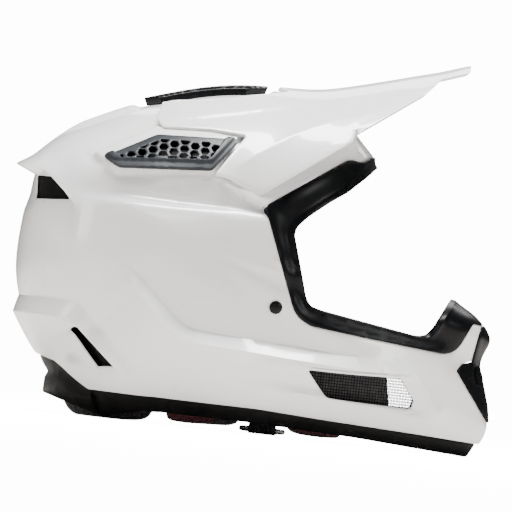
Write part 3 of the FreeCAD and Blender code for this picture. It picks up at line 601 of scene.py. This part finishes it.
def knit(name, dark, light, pitch):
    """Knitted air mesh: a grid of small open cells."""
    made = material(name, dark, 0.9, sheen=0.25)
    wave_one = add(made, "ShaderNodeTexWave", Scale=pitch, Distortion=0.4)
    wave_two = add(made, "ShaderNodeTexWave", Scale=pitch, Distortion=0.4)
    wave_two.bands_direction = "Z"
    product = add(made, "ShaderNodeMath", operation="MULTIPLY")
    for wave, slot in ((wave_one, 0), (wave_two, 1)):
        join(made, object_coordinates(made), wave.inputs["Vector"])
        join(made, wave.outputs["Fac"], product.inputs[slot])
    ramp = colour_ramp(made, dark, light, product.outputs["Value"])
    join(made, ramp.outputs["Color"], surface(made)["Base Color"])
    bump_from(made, product.outputs["Value"], 0.6, 0.0006)
    return made


def maroon_and_black():
    """Cheek pad cloth: black air mesh, with brushed maroon panels low down in front and behind."""
    made = knit("maroon_and_black_cloth", (0.008, 0.008, 0.009), (0.03, 0.03, 0.033), 120.0)
    base_colour = surface(made)["Base Color"]
    weave = base_colour.links[0].from_socket
    split = add(made, "ShaderNodeSeparateXYZ")
    join(made, object_coordinates(made), split.inputs["Vector"])
    low = add(made, "ShaderNodeMath", operation="LESS_THAN")
    low.inputs[1].default_value = 0.013
    join(made, split.outputs["Z"], low.inputs[0])
    away = add(made, "ShaderNodeMath", operation="ABSOLUTE")
    middle = add(made, "ShaderNodeMath", operation="SUBTRACT")
    middle.inputs[1].default_value = 0.004
    join(made, split.outputs["X"], middle.inputs[0])
    join(made, middle.outputs["Value"], away.inputs[0])
    ends = add(made, "ShaderNodeMath", operation="GREATER_THAN")
    ends.inputs[1].default_value = 0.026
    join(made, away.outputs["Value"], ends.inputs[0])
    both = add(made, "ShaderNodeMath", operation="MULTIPLY")
    join(made, low.outputs["Value"], both.inputs[0])
    join(made, ends.outputs["Value"], both.inputs[1])
    fuzz = add(made, "ShaderNodeTexNoise", Scale=700.0, Detail=3.0)
    join(made, object_coordinates(made), fuzz.inputs["Vector"])
    red = colour_ramp(made, (0.05, 0.008, 0.012), (0.10, 0.02, 0.027), fuzz.outputs["Fac"])
    blend = add(made, "ShaderNodeMix", data_type="RGBA")
    join(made, both.outputs["Value"], blend.inputs[0])
    join(made, weave, blend.inputs[6])
    join(made, red.outputs["Color"], blend.inputs[7])
    join(made, blend.outputs[2], base_colour)
    return made


def webbing():
    """Woven black webbing with a twill rib."""
    made = material("black_webbing", (0.02, 0.02, 0.022), 0.8, sheen=0.2)
    wave = add(made, "ShaderNodeTexWave", Scale=260.0, Distortion=0.6)
    wave.bands_direction = "DIAGONAL"
    join(made, object_coordinates(made), wave.inputs["Vector"])
    ramp = colour_ramp(made, (0.012, 0.012, 0.013), (0.04, 0.04, 0.044), wave.outputs["Fac"])
    join(made, ramp.outputs["Color"], surface(made)["Base Color"])
    bump_from(made, wave.outputs["Fac"], 0.5, 0.0005)
    return made


def steel():
    made = material("plated_steel", (0.6, 0.6, 0.61), 0.25, metallic=1.0)
    vary(made, (0.52, 0.52, 0.53), (0.66, 0.66, 0.67), 80.0)
    rough_by_noise(made, 0.18, 0.34, 200.0)
    return made


# ------------------------------------------------------------------ the shell
def spine_rise(side, half):
    """The ridge along the crown: a flat-topped band beside the centre plane."""
    width = np.interp(side[:, 0], [-160, -120, -60, 0, 40], [12, 20, 27, 30, 31])
    share = smooth((width - half) / 5 + 0.5)
    along = smooth((side[:, 0] + 168) / 30) * smooth((62 - side[:, 0]) / 20)
    clear = smooth((-102 - side[:, 0]) / 6) + smooth((side[:, 0] + 11.5) / 3)
    return 3.2 * share * along * clear * (side[:, 1] > 185)


def shell_rise(side, half):
    """How far the shell stands off the plain form: its pods, bevels, scoops and spoiler."""
    x, z = side.T
    rise = spine_rise(side, half)
    # lower body stands proud of the cheek, with a bevel along the swoosh
    gap, along = across(side, SWOOSH)
    strength = smooth(along / 0.22) * (1 - smooth((along - 0.62) / 0.33))
    proud = np.clip(-gap / 6.0, 0, 1) * np.exp(-np.clip(-gap - 6, 0, None) / 26)
    rise = rise + 9.4 * strength * np.where(gap < 0, proud, 0)
    # recessed channel between the side band and the vent pod
    gap_foot, _ = across(side, BAND_FOOT)
    gap_pod, _ = across(side, POD_CREASE)
    into = smooth(gap_foot / 9.0)
    out = smooth(gap_pod / 1.5 + 1.0)
    channel = np.where(gap_foot > 0, into, 0) * (1 - out)
    fade = smooth((x + 150) / 26)
    ramp = np.clip((z - 167) / 14, 0, 1)
    rise = rise - fade * channel * (5.4 - 4.4 * ramp)
    # pod under the side vent
    rise = rise + 3.6 * smooth(depth_in(side, SIDE_POD) / 3.0)
    # spoiler lip across the back, and the undercut below it
    gap_lip, _ = across(side, SPOILER_LINE)
    reach = np.interp(x, [-182, -172, -162, -150, -136], [15.5, 11.0, 6.5, 2.6, 0])
    lip = np.exp(-((np.clip(gap_lip, 0, None) / 9.5) ** 1.4)) * smooth((gap_lip + 1.5) / 1.5)
    rise = rise + reach * lip
    under = smooth(-gap_lip / 1.5) * (1 - smooth((-gap_lip - 14) / 18)) * smooth((-138 - x) / 12)
    rise = rise - 2.4 * np.where(gap_lip < 0, under, 0)
    # rear pod with its wide bevel
    foot, top = depth_in(side, REAR_POD), depth_in(side, REAR_POD_TOP)
    bevel = np.clip(foot / np.maximum(foot - np.minimum(top, 0), 1e-3), 0, 1)
    bevel = np.where(top > 0, 1.0, bevel) * (foot > 0)
    behind = np.interp(z, [18, 41, 56, 73, 84], [0.3, 0.8, 3.6, 7.0, 7.0])
    beside = np.interp(z, [20, 30, 68], [0.8, 2.4, 6.2])
    forward = smooth((x + 142) / 24)
    height = behind * (1 - forward) + beside * forward
    rise = rise + height * bevel
    # scoop that leads into the rear slot
    scoop = smooth(depth_in(side, SLOT_SCOOP) / 10.0)
    rise = rise - 3.6 * scoop * smooth((x + 160) / 30)
    # chin pod: a raised brow round the side opening, and a scoop that deepens towards it
    inside_pod = depth_in(side, CHIN_POD)
    top_edge = [(-23.3, 61.4), (35, 57.5), (114.1, 57.6), (134.6, 31.5)]
    gap_brow = nearest(side, top_edge)[0]
    brow = np.where(inside_pod < 0, smooth(1 - gap_brow / 9.0), smooth(1 - gap_brow / 3.0))
    scoop = smooth(inside_pod / 4.5) * smooth((x + 22) / 62)
    rise = rise - 4.2 * scoop + 4.0 * brow * smooth((x + 20) / 50) * (z > 30)
    return rise


def shell_under(side, half):
    """The shell's inner face: level, but always a wall's thickness below the outside."""
    rise = shell_rise(side, half)
    lip = np.zeros(len(half))
    for opening in (VENT_WINDOW, REAR_VENT, REAR_SLOT, CHIN_WINDOW):
        lip = np.maximum(lip, smooth((depth_in(side, opening) + 4) / 2.5))
    return np.minimum(-3.9, rise - 2.4) * (1 - lip) + (rise - 1.1) * lip


def build_shell(paint):
    """The outer shell, with its eyeport, vents and neck opening."""
    loops = [on_side(SHELL, [(-FAR, FAR), (-FAR, -FAR), (FAR, -FAR), (FAR, FAR)], spacing=40)]
    eyeport = [tuple(p) for p in rounded(EYE_OPENING, 3.5)[5:-5]]
    holes = [on_side(SHELL, EYE_OPENING[:1] + eyeport + EYE_OPENING[-1:])]
    holes.append(on_side(SHELL, BELOW_BASE))
    for outline, radius, rise in ((VENT_WINDOW, 1.0, 3.6), (REAR_VENT, 1.0, -1.5), (CHIN_WINDOW, 2.5, -3.0)):
        holes.append(on_side(SHELL, rounded(outline, radius), rise, 1.6))
    slot = sampled(rounded(REAR_SLOT, 1.0), 1.6)
    holes.append(SHELL.from_side(slot, shell_rise(np.array(slot, float), np.full(len(slot), FAR))))
    holes.append(SHELL.from_front(sampled(MOUTH_WINDOW, 2.0)))
    creases = []
    for line, closed in (
        (SWOOSH, False), (BAND_TOP, False), (BAND_FOOT, False), (POD_CREASE, False), (SIDE_POD, True),
        (SPOILER_LINE, False), (REAR_POD[1:7], False), (REAR_POD_TOP[1:6], False), (CHIN_POD, True),
    ):
        creases.append(on_side(SHELL, line, 0.0, 2.2, closed))
    for line, distance in ((SWOOSH, 6.0), (SPOILER_LINE, 1.5)):
        creases.append(on_side(SHELL, shifted(line, -distance), 0.0, 2.2, False))
    turns = np.linspace(0, 2 * math.pi, 24)[:-1]
    circle = [(RIVET[0] + RIVET_HOLE * math.cos(t), RIVET[1] + RIVET_HOLE * math.sin(t)) for t in turns]
    holes.append(on_side(SHELL, circle, 0.0, 0.6))
    shell = skin("outer_shell_skin", paint, SHELL, loops, shell_rise, shell_under, holes, creases, 2.5, 0.9)
    fit(shell, "shell", "outer_shell")


def shifted(line, distance):
    """An open polyline moved sideways: left if distance is positive."""
    line = np.array(line, float)
    run = np.gradient(line, axis=0)
    normal = np.stack([-run[:, 1], run[:, 0]], 1)
    normal /= np.linalg.norm(normal, axis=1)[:, None]
    return [tuple(p) for p in line + normal * distance]


# ------------------------------------------------------------------ trims
def flat(value):
    return lambda side, half: np.full(len(half), float(value))


def build_trims(black, matt):
    """Eyeport trim with its nose guard, the base trim and the rear collar."""
    outer = rounded(EYE_OPENING, 3.5)
    inner = rounded(EYE_INNER, 4.0)
    outer_line, inner_line = EYE_OPENING[1:-1], EYE_INNER[1:-1]

    def trim_rise(side, half):
        to_outer, to_inner = nearest(side, outer_line)[0], nearest(side, inner_line)[0]
        share = to_outer / np.maximum(to_outer + to_inner, 1e-6)
        slope = 0.7 - 3.6 * smooth((share - 0.1) / 0.8)
        return slope + 0.9 * smooth((4.6 - to_inner) / 3.0)

    loop = on_side(SHELL, outer, 0.7)
    hole = on_side(SHELL, inner, -2.5)
    trim = skin("eyeport_trim_skin", black, SHELL, [loop], trim_rise, flat(-6.2), [hole], spacing=1.7, edge=0.5)
    fit(trim, "black_trim", "eyeport_trim", "nose_guard")

    band = on_side(SHELL, BASE_LINE[2:] + TRIM_FOOT, 0.2)
    base = skin("base_trim_skin", matt, SHELL, [band], flat(0.3), flat(-9.0), spacing=2.6, edge=0.8)
    collar_loop = on_side(SHELL, COLLAR, 2.0)

    def collar_rise(side, half):
        x, z = side.T
        flare = np.interp(z, [0, 16, 18.6, 29.3, 38.9, 41], [0.3, 4.8, 5.4, 1.4, 2.2, 2.2])
        return 0.3 + (flare - 0.3) * smooth(nearest(side, BASE_LINE[:3])[0] / 7.0)

    collar = skin("rear_collar_skin", matt, SHELL, [collar_loop], collar_rise, flat(-9.0), spacing=2.6, edge=0.8)
    fit(base, "black_trim", "base_trim")
    fit(collar, "black_trim", "rear_collar")


# ------------------------------------------------------------------ vents
def hexagons():
    """The side vent's hexagonal holes, each clipped to the window."""
    found = []
    column_step, row_step = 7.6, 5.65
    across_half, edge_half, up_half = 3.4, 1.7, 2.4
    for column in range(-1, 12):
        for row in range(-1, 5):
            x = -113.0 + column_step * column
            z = 189.6 + row_step * (row + 0.5 * (column % 2))
            corners = [
                (x - across_half, z), (x - edge_half, z - up_half), (x + edge_half, z - up_half),
                (x + across_half, z), (x + edge_half, z + up_half), (x - edge_half, z + up_half),
            ]
            corners = clipped(corners, inset_outline(VENT_WINDOW, 0.9))
            if len(corners) > 2 and area(corners) > 5:
                found.append(corners)
    return found


def area(points):
    points = np.array(points)
    x, y = points.T
    return abs(np.dot(x, np.roll(y, -1)) - np.dot(y, np.roll(x, -1))) / 2


def inset_outline(points, distance):
    """A convex outline moved inwards."""
    points = np.array(points, float)
    middle = points.mean(0)
    count = len(points)
    found = []
    for i in range(count):
        before, here, after = points[i - 1], points[i], points[(i + 1) % count]
        lines = []
        for start, end in ((before, here), (here, after)):
            normal = np.array([-(end - start)[1], (end - start)[0]])
            normal /= np.linalg.norm(normal)
            if normal @ (middle - start) < 0:
                normal = -normal
            lines.append((normal, normal @ start + distance))
        found.append(tuple(np.linalg.solve([lines[0][0], lines[1][0]], [lines[0][1], lines[1][1]])))
    return found


def clipped(points, region):
    """A polygon clipped to a convex region."""
    region = np.array(region, float)
    middle = region.mean(0)
    result = [np.array(p, float) for p in points]
    for start, end in zip(region, np.roll(region, -1, 0)):
        normal = np.array([-(end - start)[1], (end - start)[0]])
        if normal @ (middle - start) < 0:
            normal = -normal
        cut = []
        for a, b in zip(result, result[1:] + result[:1]):
            da, db = normal @ (a - start), normal @ (b - start)
            if da >= 0:
                cut.append(a)
            if da * db < 0:
                cut.append(a + (b - a) * da / (da - db))
        result = cut
        if not result:
            break
    return result


def build_side_vents(slate):
    """Frames with a hexagonal grille sunk inside a bevelled rim."""
    window = inset_outline(VENT_WINDOW, -0.4)

    def frame_rise(side, half):
        into = depth_in(side, window)
        rim = 7.2 - 0.9 * smooth((3.0 - depth_in(side, VENT_FRAME)) / 1.6)
        return np.where(into > 0, rim - 2.4 * smooth(into / 1.0), rim)

    loop = on_side(SHELL, rounded(VENT_FRAME, 2.6), 6.0, 1.4)
    holes = [on_side(SHELL, rounded(hexagon, 0.7, 2), 5.0, 1.2) for hexagon in hexagons()]
    creases = [on_side(SHELL, window, 6.0, 1.4), on_side(SHELL, inset_outline(window, 1.0), 5.0, 1.4)]
    whole = skin(
        "side_vent_frames", slate, SHELL, [loop], frame_rise, flat(3.75), holes, creases, 1.5, 0.45, mirror=False
    )
    both_sides(whole, "side_vent_frame_skin", "dark_vent", "side_vent_frame")


def flip(piece):
    """Mirrors a mesh through the centre plane."""
    work = bmesh.new()
    work.from_mesh(piece.data)
    for vert in work.verts:
        vert.co.y = -vert.co.y
    bmesh.ops.reverse_faces(work, faces=work.faces)
    work.to_mesh(piece.data)
    work.free()


def both_sides(whole, name, slot, node):
    """Puts a copy of a left-hand piece on each side, and removes the piece."""
    for word in ("left", "right"):
        piece = whole.copy()
        piece.data = whole.data.copy()
        piece.name = f"{name}_{word}"
        bpy.context.collection.objects.link(piece)
        if word == "right":
            flip(piece)
        fit(piece, slot, f"{node}_{word}")
    bpy.data.objects.remove(whole)


def wire_screen(name, outline, rise, pitch, material_made, word):
    """A woven screen: two families of fine square-section wires that follow the form within an outline."""
    outline = np.array(outline, float)
    low, high = outline.min(0), outline.max(0)
    verts, faces = [], []
    sign = 1 if word == "left" else -1
    for family in (0, 1):
        start = low[family] - 40
        while start < high[family] + 40:
            other = 1 - family
            steps = np.arange(low[other] - 2, high[other] + 2, 1.1)
            line = np.zeros((len(steps), 2))
            line[:, family] = start
            line[:, other] = steps
            for run in runs_of(line, inside(line, outline)):
                weave = 0.22 * (1 if int(round(start / pitch)) % 2 else -1) * np.sin(run[:, other] / pitch * math.pi)
                tube(verts, faces, SHELL.place(SHELL.from_side(run, rise), rise + weave), 0.26, sign)
            start += pitch
    return mesh_object(name, verts, faces, material_made)


def tube(verts, faces, path, radius, sign):
    """Adds a square-section wire along a path."""
    run = np.gradient(path, axis=0)
    run /= np.maximum(np.linalg.norm(run, axis=1), 1e-9)[:, None]
    side = np.cross(run, [0, 1, 0])
    side /= np.maximum(np.linalg.norm(side, axis=1), 1e-9)[:, None]
    up = np.cross(side, run)
    first = len(verts)
    for i in range(len(path)):
        for a, b in ((1, 0), (0, 1), (-1, 0), (0, -1)):
            point = path[i] + radius * (a * side[i] + b * up[i])
            verts.append((point[0], sign * point[1], point[2]))
    for i in range(len(path) - 1):
        for k in range(4):
            a, b = first + 4 * i + k, first + 4 * i + (k + 1) % 4
            faces.append((a, b, b + 4, a + 4) if sign < 0 else (b, a, a + 4, b + 4))
    end = first + 4 * (len(path) - 1)
    faces.append((first, first + 1, first + 2, first + 3) if sign > 0 else (first + 3, first + 2, first + 1, first))
    faces.append((end + 3, end + 2, end + 1, end) if sign > 0 else (end, end + 1, end + 2, end + 3))


REAR_SHEET = [(-174.5, 173), (-158, 173), (-144, 154), (-150, 151), (-174.5, 151)]
CHIN_SHEET = [(34, 55), (109, 55), (123, 37), (120, 28), (51, 32.5)]
SLOT_SHEET = [(-138, 62), (-133, 67), (-127, 67), (-97, 38), (-99, 34), (-114, 34)]


def weave_rise(level):
    """A woven surface: two crossed ripples."""
    def rise(side, half):
        return level + 0.16 * np.sin(side[:, 0] * 2.4) * np.sin(side[:, 1] * 2.4)
    return rise


def build_screens(mesh_black):
    """Woven sheets behind the side vents, rear vents and rear slots, and wires behind the chin openings."""
    for label, outline, low in (
        ("side_vent_screen", inset_outline(VENT_WINDOW, -2.4), -2.6),
        ("rear_vent_screen", REAR_SHEET, -5.4), ("rear_slot_screen", SLOT_SHEET, -5.4),
    ):
        loop = on_side(SHELL, outline, low, 2.0)
        whole = skin(
            label, mesh_black, SHELL, [loop], weave_rise(low + 0.9), flat(low), spacing=1.3, edge=0, mirror=False
        )
        both_sides(whole, f"{label}_cloth", "grille", label)
    for word in ("right", "left"):
        screen = wire_screen(f"chin_vent_screen_wires_{word}", CHIN_SHEET, -4.8, 2.05, mesh_black, word)
        fit(screen, "grille", f"chin_vent_screen_{word}")


def build_mouth_grille(mesh_black):
    """Woven screen in the shell's front opening."""
    area_points = [(0.01, 72.5), (19, 66.6), (22.6, 60), (17, 49.5), (0.01, 49.5)]  # (y, z)
    loop = SHELL.from_front(sampled(area_points, 1.6), -1.0)
    grille = skin("mouth_vent_weave", mesh_black, SHELL, [loop], weave_rise(-0.2), flat(-1.0), spacing=1.3, edge=0)
    fit(grille, "grille", "mouth_vent_grille")


def build_covers(black):
    """The slatted cover on the crown and the vee-shaped cover over the mouth vent."""
    plan = [(-12.5, 0.01), (-12.5, 10), (-27, 23), (-89, 20), (-100, 8), (-100, 0.01)]
    loop = SHELL.from_plan(sampled(plan, 2.2, False), 4.0)
    past_centre = [SHELL.from_plan([(x, -0.2)], 4.0) * 1.02 for x in (-100, -12.5)]
    loop = np.vstack([loop] + past_centre)

    def top_rise(side, half):
        x = side[:, 0]
        edge = np.interp(x, [-100, -89, -27, -12.5], [8, 20, 23, 10])
        step = smooth((edge - half - 4.0) / 1.5)
        return 3.6 + 1.6 * smooth((edge - half) / 1.2) + 1.2 * step

    cover = skin("top_vent_cover_skin", black, SHELL, [loop], top_rise, flat(0.35), spacing=1.9, edge=0.6)
    fit(cover, "black_trim", "top_vent_cover")

    def vee_rise(side, half):
        x, z = side.T
        crest = np.interp(z, [24, 31, 45, 59, 75, 90.5, 97], [6.0, 7.2, 5.6, 4.6, 6.0, 7.0, 5.5])
        fall = smooth(depth_in(side, MOUTH_COVER) / 9.0)
        return 1.6 + (crest - 1.6) * fall

    vee_loop = on_side(SHELL, rounded(MOUTH_COVER, 1.2), 3.0, 1.8)
    hole = SHELL.from_front(sampled(MOUTH_GAP, 1.6), 4.0)
    vee = skin("mouth_vent_cover_skin", black, SHELL, [vee_loop], vee_rise, flat(0.3), [hole], spacing=2.0, edge=0.7)
    fit(vee, "black_trim", "mouth_vent_cover")


# ------------------------------------------------------------------ visor
VISOR_SIDE = [
    (134.2, 330), (134.2, 279), (113.1, 271.8), (102.6, 259), (57.1, 225.7), (55.1, 229.5), (53.6, 219.2),
    (-7.7, 174), (-11.2, 173), (-32.3, 183.8), (-43.1, 185.3), (-23.6, 215.4), (-50, 217.4), (-84.7, 215.4),
    (-89.6, 220.9), (-87, 236), (-80, 330),
]
VISOR_CREASE = [
    (-38, 184.5), (-32.7, 188.1), (8.7, 218.2), (43.8, 236.3), (53.1, 235.1), (105.6, 265.2), (118, 276),
]
VISOR_GROOVE = [(-85.4, 219.6), (-60, 224), (-20, 233), (42.4, 249)]


def visor_rise(side, half):
    """Crease between the top and the outer facet, and the step along the arms."""
    gap, along = across(side, VISOR_CREASE)
    ridge = 2.2 * np.exp(-np.abs(gap) / 9.0) * smooth(along / 0.15) * smooth((1 - along) / 0.1)
    drop, way = across(side, VISOR_GROOVE)
    ends = smooth(way / 0.1) * (1 - smooth((way - 0.6) / 0.4))
    step = 1.3 * smooth(drop / 3.0 + 0.5) * ends * np.exp(-np.clip(drop, 0, None) / 26)
    return ridge + step


def build_visor(paint):
    outline = rounded(VISOR_SIDE, 2.0, 3)
    loop = on_side(VISOR, outline, 0.0, 2.0)
    slot_points = [(-3.7, 0.01), (-3.2, 12), (2, 24), (2, 31), (-10, 42), (-38, 56), (-63, 53), (-80, 43), (-122, 30)]
    slot_line = VISOR.from_plan(sampled(slot_points, 2.0, False))
    over_the_top = [VISOR.from_side([point]) for point in ((-122, 260), (-60, 300), (-3.7, 300))]
    slot = np.vstack([slot_line] + over_the_top)
    creases = [on_side(VISOR, line, 0.0, 2.2, False) for line in (VISOR_CREASE, VISOR_GROOVE)]
    creases.append(on_side(VISOR, shifted(VISOR_GROOVE, 1.5), 0.0, 2.2, False))

    def under(side, half):
        return visor_rise(side, half) - 3.0

    visor = skin("visor_skin", paint, VISOR, [loop], visor_rise, under, [slot], creases, 2.2, 0.9)
    fit(visor, "visor", "visor", body="visor")


# ------------------------------------------------------------------ lining, straps and hardware
CLOTH_PRESSURE = 4
CLOTH_FRAMES = 20


def cloth_pad(node, material_made, body, cap=4.0, voxel=0.005, slot="lining", smaller=0.6):
    """A padded copy of a CAD foam pad: remeshed, swelled with cloth pressure, capped and applied."""
    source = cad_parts[node]
    mesh = source.data.copy()
    pad = bpy.data.objects.new(f"{node}_cover", mesh)
    bpy.context.collection.objects.link(pad)
    pad.matrix_world = source.matrix_world
    mesh.materials.clear()
    mesh.materials.append(material_made)
    bpy.context.view_layer.objects.active = pad
    for other in bpy.context.selected_objects:
        other.select_set(False)
    pad.select_set(True)
    remesh = pad.modifiers.new("remesh", "REMESH")
    remesh.mode, remesh.voxel_size = "VOXEL", voxel
    bpy.ops.object.modifier_apply(modifier="remesh")
    soften = pad.modifiers.new("soften", "SMOOTH")
    soften.factor, soften.iterations = 0.5, 10
    bpy.ops.object.modifier_apply(modifier="soften")
    work = bmesh.new()
    work.from_mesh(pad.data)
    work.normal_update()
    shrink = [v.normal.copy() * (-smaller * MM) for v in work.verts]
    for vert, move in zip(work.verts, shrink):
        vert.co += move
    work.to_mesh(pad.data)
    work.free()
    swell(pad, cap)
    finish_pad = pad.modifiers.new("round", "SUBSURF")
    finish_pad.levels = finish_pad.render_levels = 1
    bpy.ops.object.modifier_apply(modifier="round")
    pad.data.shade_smooth()
    fit(pad, slot, node, body=body)
    return pad


def swell(pad, cap):
    """Blows a pad up with cloth pressure, and limits how far any point moves."""
    before = np.array([tuple(v.co) for v in pad.data.vertices])
    cloth = pad.modifiers.new("cloth", "CLOTH")
    cloth.settings.use_pressure = True
    cloth.settings.uniform_pressure_force = CLOTH_PRESSURE
    cloth.settings.effector_weights.gravity = 0
    cloth.settings.tension_stiffness = cloth.settings.compression_stiffness = 40
    cloth.settings.quality = 4
    cloth.point_cache.frame_start, cloth.point_cache.frame_end = 1, CLOTH_FRAMES
    for number in range(1, CLOTH_FRAMES + 1):
        bpy.context.scene.frame_set(number)
    shaped = pad.evaluated_get(bpy.context.evaluated_depsgraph_get())
    after = np.array([tuple(v.co) for v in shaped.data.vertices])
    pad.modifiers.remove(cloth)
    move = after - before
    far = np.linalg.norm(move, axis=1)
    limit = cap * MM
    scale = np.where(far > 1e-9, limit * np.tanh(far / limit) / np.maximum(far, 1e-9), 0)
    for vert, spot in zip(pad.data.vertices, before + move * scale[:, None]):
        vert.co = spot
    bpy.context.scene.frame_set(1)


def dress_nodes(finishes):
    """Gives each CAD node that stays in view its finish."""
    for prefix, made in finishes.items():
        for name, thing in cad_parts.items():
            if name.startswith(prefix):
                thing.data.materials.clear()
                thing.data.materials.append(made)


# ------------------------------------------------------------------ studio
SKY_LIGHT = 0.12  # strength of the surround as the helmet is lit by it
SKY_SEEN = 14.0  # strength of the surround and the floor as the camera sees them
LENS = 1500  # long enough to be nearly free of perspective
FIELD = 0.3738  # width of the field at the helmet, in metres
LEAN = 6.35  # degrees that the helmet leans by, as the camera sees it
AIM = Vector((-0.0071 + 0.00318, 0, 0.1293))


def build_sky(world):
    """A white surround for the camera, and a soft grey one for the light that falls on things."""
    tree = world.node_tree
    background = tree.nodes["Background"]
    path = tree.nodes.new("ShaderNodeLightPath")
    shade = tree.nodes.new("ShaderNodeMapRange")
    shade.inputs["To Min"].default_value, shade.inputs["To Max"].default_value = SKY_LIGHT, SKY_SEEN
    tree.links.new(path.outputs["Is Camera Ray"], shade.inputs["Value"])
    tree.links.new(shade.outputs["Result"], background.inputs["Strength"])
    background.inputs["Color"].default_value = (1, 1, 1, 1)


def build_studio():
    """Pale floor, soft lights and a long-lens camera level with the helmet, rolled as the helmet leans."""
    scene = bpy.context.scene
    lean = math.radians(LEAN)
    floor_mesh = bpy.data.meshes.new("floor")
    floor_mesh.from_pydata([(-6, -6, 0), (6, -6, 0), (6, 6, 0), (-6, 6, 0)], [], [(0, 1, 2, 3)])
    floor = bpy.data.objects.new("floor", floor_mesh)
    scene.collection.objects.link(floor)
    floor_made = material("pale_floor", (0.9, 0.9, 0.9), 0.7)
    vary(floor_made, (0.92, 0.87, 0.82), (0.94, 0.89, 0.84), 3.0)
    floor_shader = floor_made.node_tree.nodes["Principled BSDF"]
    floor_shader.inputs["Emission Color"].default_value = (1, 1, 1, 1)
    path = add(floor_made, "ShaderNodeLightPath")
    seen = add(floor_made, "ShaderNodeMapRange")
    seen.inputs["To Min"].default_value, seen.inputs["To Max"].default_value = 0.0, SKY_SEEN
    join(floor_made, path.outputs["Is Camera Ray"], seen.inputs["Value"])
    join(floor_made, seen.outputs["Result"], floor_shader.inputs["Emission Strength"])
    floor_mesh.materials.append(floor_made)
    world = bpy.data.worlds.new("studio")
    scene.world = world
    world.use_nodes = True
    build_sky(world)
    middle = Vector((-0.007, 0, 0.129))
    for name, place, size, power in (
        ("top", (0.05, -0.16, 1.5), (1.3, 0.36), 78), ("side", (-0.5, -1.6, 0.9), (0.8, 0.25), 3.5),
        ("front", (1.4, -0.5, 0.75), (0.4, 0.5), 6), ("back", (-1.5, -0.4, 0.5), (0.3, 0.6), 4),
        ("far", (0.2, 1.4, 1.0), (1.2, 0.5), 8),
    ):
        data = bpy.data.lights.new(name, "AREA")
        data.shape, data.size, data.size_y, data.energy = "RECTANGLE", size[0], size[1], power
        light = bpy.data.objects.new(name, data)
        light.location = place
        light.rotation_euler = (middle - Vector(place)).to_track_quat("-Z", "Y").to_euler()
        scene.collection.objects.link(light)
    camera_data = bpy.data.cameras.new("camera")
    camera_data.lens, camera_data.sensor_width = LENS, 36
    camera_data.clip_end = 50
    distance = FIELD * LENS / 36
    camera = bpy.data.objects.new("camera", camera_data)
    right = Vector((math.cos(lean), 0, math.sin(lean)))
    up = Vector((-math.sin(lean), 0, math.cos(lean)))
    back = Vector((0, -1, 0))
    turn = Matrix((right, up, back)).transposed()
    camera.matrix_world = Matrix.Translation(AIM + back * distance) @ turn.to_4x4()
    scene.collection.objects.link(camera)
    scene.camera = camera


def main():
    build_studio()
    paint, black, matt, slate = pearl_white(), gloss_black(), matt_black(), slate_plastic()
    build_shell(paint)
    build_visor(paint)
    build_trims(black, matt)
    build_side_vents(slate)
    build_screens(matt)
    build_covers(black)
    build_mouth_grille(matt)
    maroon = maroon_and_black()
    mesh_lining = knit("black_air_mesh", (0.008, 0.008, 0.009), (0.035, 0.035, 0.038), 90.0)
    foam, strap, metal = bead_foam(), webbing(), steel()
    dress_nodes({
        "crown_liner": foam, "chin_liner": foam, "strap_": strap, "d_ring": metal, "strap_snap": metal,
        "visor_magnets": metal, "visor_keepers": metal, "pad_snaps": metal, "strap_rivet": black,
    })
    for node in ("crown_pad", "brow_pad", "neck_roll"):
        cloth_pad(node, mesh_lining, "helmet")
    for word in ("right", "left"):
        cloth_pad(f"cheek_pad_{word}", maroon, f"cheek_pad_{word}", slot="pad")


main()
